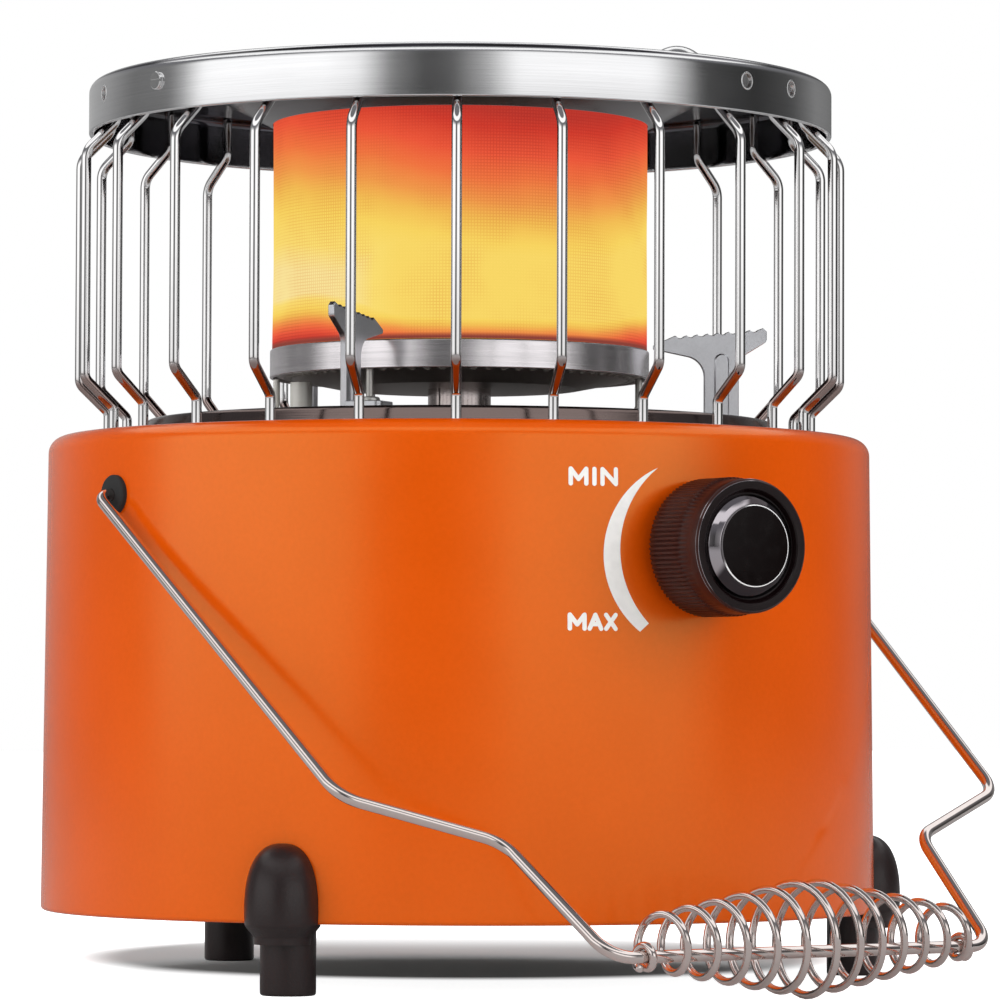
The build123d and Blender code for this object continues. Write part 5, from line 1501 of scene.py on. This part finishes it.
# ---------------------------------------------------------------------------- bail
@dataclass
class Bail:
    """Carrying bail with its coil grip, at rest on the ground in front of the case."""

    case: Case
    # Corners of one half: distance to the side, and distance from the pivot axis.
    half: tuple[Point2, ...] = ((90.0, 0.0), (104.0, 0.0), (96.5, 109.0), (61.2, 125.3), (55.2, 164.0))
    grip_height: float = 10.7
    wire_radius: float = 1.4
    bends: tuple[float, ...] = (3.4, 9.0, 9.0, 7.0)
    coil_radius: float = 0.9
    coil_pitch: float = 7.5
    coil_turns: int = 6
    coil_middle: float = 12.7
    coil_hang: float = 3.1
    close_gap: float = 0.15
    close_pitch: float = 2.2

    def spot(self, across: float, down: float) -> Vector:
        """Point in the bail's plane."""
        pivot = self.case.pivot_height
        tilt = math.acos((pivot - self.grip_height) / self.half[-1][1])
        return Vector((across, -down * math.sin(tilt), pivot - down * math.cos(tilt)))

    def build(self) -> None:
        """Make and dress the bail."""
        self.wire()
        self.coil()

    def wire(self) -> None:
        """Bent wire with its ends in the grommets."""
        corners = [*self.half, *((-across, down) for across, down in reversed(self.half))]
        bends = self.bends + self.bends[::-1]
        path = filleted([self.spot(*corner) for corner in corners], bends, 6.0)
        shape = Shape().tube(path, self.wire_radius, 28)
        shape.piece("bent_bail", BAIL_STEEL, Body.BAIL, "bail_wire")

    def coil(self) -> None:
        """Loose double cone of wire that narrows to a closed turn at each end."""
        half_length = self.coil_pitch * self.coil_turns
        close = self.wire_radius + self.coil_radius + self.close_gap
        end_radius = close + self.coil_hang
        grip = self.spot(0.0, self.half[-1][1])
        path = []
        steps = 40
        for index in range(-self.coil_turns * steps, self.coil_turns * steps + 1):
            share = abs(index) / (self.coil_turns * steps)
            radius = self.coil_middle + (end_radius - self.coil_middle) * share
            angle = 2 * math.pi * index / steps
            along = half_length * index / (self.coil_turns * steps)
            path.append(Vector((along, radius * math.sin(angle), self.coil_hang - radius * math.cos(angle))))
        for end in (-1, 1):
            tail = []
            for index in range(1, steps + 1):
                angle = end * 2 * math.pi * index / steps
                along = end * (half_length + self.close_pitch * index / steps)
                tail.append(Vector((along, close * math.sin(angle), -close * math.cos(angle))))
            path = tail[::-1] + path if end < 0 else path + tail
        path = [point + grip for point in path]
        shape = Shape().tube(path, self.coil_radius, 16)
        shape.piece("coiled_grip", BAIL_STEEL, Body.BAIL, "coil_grip", crease=70.0)


# ---------------------------------------------------------------------------- gas way
@dataclass
class GasWay:
    """Inlet, pipes, jet and igniter, which keep their CAD shapes."""

    brass: tuple[str, ...] = ("gas_jet", "inlet_connector")
    pipes: tuple[str, ...] = ("inlet_pipe", "gas_pipe")

    def build(self) -> None:
        """Dress every piece."""
        dress(BRASS, *self.brass)
        dress(PIPE, *self.pipes)
        dress(KNOB_SKIRT, "piezo_igniter")
        dress(RUBBER, "igniter_lead")


# ---------------------------------------------------------------------------- studio
@dataclass
class Studio:
    """White floor, softbox surround, three lamps and the camera."""

    eye_azimuth: float = -37.0
    eye_distance: float = 1255.0
    eye_height: float = 63.0
    focal_pixels: float = 5200.0
    axis_column: float = 459.0
    horizon_row: float = 714.0
    roll: float = 0.2
    image_size: float = 1000.0
    floor_size: float = 12.0
    # Ellipse of the painted shadow on the floor: how far its middle lies towards the eye, its half depth and
    # its half width, in metres.
    painted_shadow_ahead: float = -0.100
    painted_shadow_depth: float = 0.116
    painted_shadow_width: float = 0.097
    gap_level: float = 0.16
    strip_level: float = 1.05
    # Brightness of each part of the surround, as sRGB bytes by degrees to the right of the eye.
    left_wall: tuple[Point2, ...] = ((-180, 165), (-140, 140), (-120, 104), (-100, 110))
    left_softbox: tuple[Point2, ...] = ((-94, 158), (-85, 250), (-42, 252), (-31, 236))
    gap: tuple[Point2, ...] = ((-21, 120), (-11, 66), (-2, 84))
    right_softbox: tuple[Point2, ...] = ((8, 160), (17, 246), (61, 246))
    right_wall: tuple[Point2, ...] = ((78, 68), (102, 46), (122, 70), (142, 118), (180, 90))

    def build(self) -> None:
        """Set up the whole studio."""
        self.view()
        self.floor()
        self.surround()
        self.lamp("key", turn=-62.0, rise=24.0, distance=1.5, size=0.9, power=9.0)
        self.lamp("fill", turn=62.0, rise=22.0, distance=1.6, size=0.9, power=9.0)
        self.lamp("top", turn=10.0, rise=62.0, distance=1.4, size=0.8, power=2.0)
        bpy.context.scene.view_settings.view_transform = "Standard"

    def direction(self, turn: float, rise: float) -> Vector:
        """Unit vector to the right of the eye by turn and up by rise, seen from the heater, in degrees."""
        flat = at(self.eye_azimuth + turn, math.cos(math.radians(rise)), math.sin(math.radians(rise)))
        return flat.normalized()

    def toward_eye(self, x: Signal, y: Signal) -> tuple[Signal, Signal]:
        """How far a point lies towards the eye and to the right of it."""
        front, right = self.direction(0.0, 0.0), self.direction(90.0, 0.0)
        return x * front.x + y * front.y, x * right.x + y * right.y

    def view(self) -> None:
        """Camera at the eye, looking a little to the right of the upright axis."""
        data = bpy.data.cameras.new("camera")
        data.sensor_width = 36.0
        data.lens = data.sensor_width * self.focal_pixels / self.image_size
        data.clip_end = 50.0
        camera = placed("camera", data)
        half = self.image_size / 2
        yaw = math.atan2(half - self.axis_column, self.focal_pixels)
        pitch = math.atan2(self.horizon_row - half, self.focal_pixels)
        back = self.direction(0.0, 0.0)
        heading = math.atan2(-back.x, back.y) + math.pi
        turn = (Matrix.Rotation(heading - yaw, 4, "Z") @ Matrix.Rotation(math.pi / 2 + pitch, 4, "X")
                @ Matrix.Rotation(math.radians(self.roll), 4, "Z"))
        spot = back * self.eye_distance * MM + Vector((0, 0, self.eye_height * MM))
        camera.matrix_world = Matrix.Translation(spot) @ turn
        bpy.context.scene.camera = camera

    def floor(self) -> None:
        """White floor that keeps the heater's shadow, with a painted shadow: a darker ellipse under and
        behind the heater, where the white that only the camera sees is also held back.
        """
        reach = self.floor_size / 2
        mesh = bpy.data.meshes.new("floor")
        corners = [(-reach, -reach, 0), (reach, -reach, 0), (reach, reach, 0), (-reach, reach, 0)]
        mesh.from_pydata(corners, [], [(0, 1, 2, 3)])
        floor = placed("floor", mesh)
        material = bpy.data.materials.new("floor_with_painted_shadow")
        material.use_nodes = True
        graph = Graph(material.node_tree)
        path = graph.add("ShaderNodeLightPath")
        seen = Signal(graph, path.outputs["Is Camera Ray"])
        x, y, _ = graph.parts(graph.place())
        ahead, beside = self.toward_eye(x, y)
        deep = (ahead + -self.painted_shadow_ahead) * (1 / self.painted_shadow_depth)
        wide = beside * (1 / self.painted_shadow_width)
        # Painted shadow: the floor colour is darker inside the ellipse, and the camera-only white lift stays
        # low inside it, rising far behind.
        outside = (deep * deep + wide * wide).rise(0.78, 1.16)
        behind = (ahead * -1.0).rise(0.135, 0.26)
        white = outside.tint((0.62, 0.62, 0.62), (0.86, 0.86, 0.86))
        # Painted dim reflection: in reflections the floor is a flat mid grey, so the case's lower side
        # mirrors less light than the lit floor gives.
        white = Signal(graph, path.outputs["Is Glossy Ray"]).tint(white, (0.5, 0.5, 0.5))
        matt = graph.node("ShaderNodeBsdfDiffuse", None, {"Color": white})
        away = outside.most(behind) * 0.9 + 0.02
        lift = graph.node("ShaderNodeEmission", None, {"Color": (1, 1, 1, 1), "Strength": seen * away})
        both = graph.node("ShaderNodeAddShader", None, {0: matt, 1: lift})
        graph.add("ShaderNodeOutputMaterial", None, {"Surface": both})
        mesh.materials.append(material)

    def surround(self) -> None:
        """Studio surround: white to the eye, with two softboxes and dark gaps for what it lights."""
        world = bpy.data.worlds.new("surround")
        bpy.context.scene.world = world
        world.use_nodes = True
        graph = Graph(world.node_tree)
        way = graph.node("ShaderNodeTexCoord", output="Generated")
        x, y, z = graph.parts(way)
        ahead, beside = self.toward_eye(x, y)
        turn = ahead._math("ARCTAN2", beside, ahead) / (2 * math.pi) + 0.5
        levels = self.left_wall + self.left_softbox + self.gap + self.right_softbox + self.right_wall
        band = turn.ramp([(0.5 + azimuth / 360, (grey(level) * 1.18,) * 3) for azimuth, level in levels])
        above = z.rise(0.22, 0.50)
        tall = z.rise(0.0, 0.12) * 0.3 + 0.8
        shade = above.tint(band, (self.gap_level, self.gap_level, self.gap_level + 0.01))
        strip = z.rise(0.56, 0.60) * (1 - z.rise(0.80, 0.86))
        shade = strip.tint(shade, (self.strip_level,) * 3)
        bright = graph.node("ShaderNodeVectorMath", {"operation": "SCALE"}, {0: shade, "Scale": tall})
        path = graph.add("ShaderNodeLightPath")
        seen, through = (Signal(graph, path.outputs[f"Is {kind} Ray"]) for kind in ("Camera", "Transmission"))
        seen = seen.most(through)
        colour = seen.tint(bright, (1.0, 1.0, 1.0))
        lit = graph.node("ShaderNodeBackground", None, {"Color": colour, "Strength": 1.0})
        graph.add("ShaderNodeOutputWorld", None, {"Surface": lit})

    def lamp(self, name: str, turn: float, rise: float, distance: float, size: float, power: float) -> None:
        """Square soft lamp aimed at the heater's middle.

        Args:
            name: the lamp's name.
            turn: degrees to the right of the eye.
            rise: degrees above the floor.
            distance: metres from the heater.
            size: side of the lamp in metres.
            power: watts.
        """
        data = bpy.data.lights.new(name, "AREA")
        data.size, data.energy = size, power
        lamp = placed(name, data)
        lamp.visible_glossy = False
        way = self.direction(turn, rise)
        spot = Vector((0, 0, 0.1)) + way * distance
        lamp.matrix_world = Matrix.Translation(spot) @ way.to_track_quat("Z", "Y").to_matrix().to_4x4()


def main() -> None:
    """Build the heater's looks, one sub-assembly after another, and then the studio."""
    logging.basicConfig(level=logging.INFO, format="%(name)s: %(message)s")
    case = Case()
    for assembly in (case, Deck(), RadiantHead(), Knob(case), Bail(case), GasWay(), Studio()):
        log.info("building %s", type(assembly).__name__)
        assembly.build()


if __name__ == "__main__":
    main()
    bpy.context.view_layer.update()
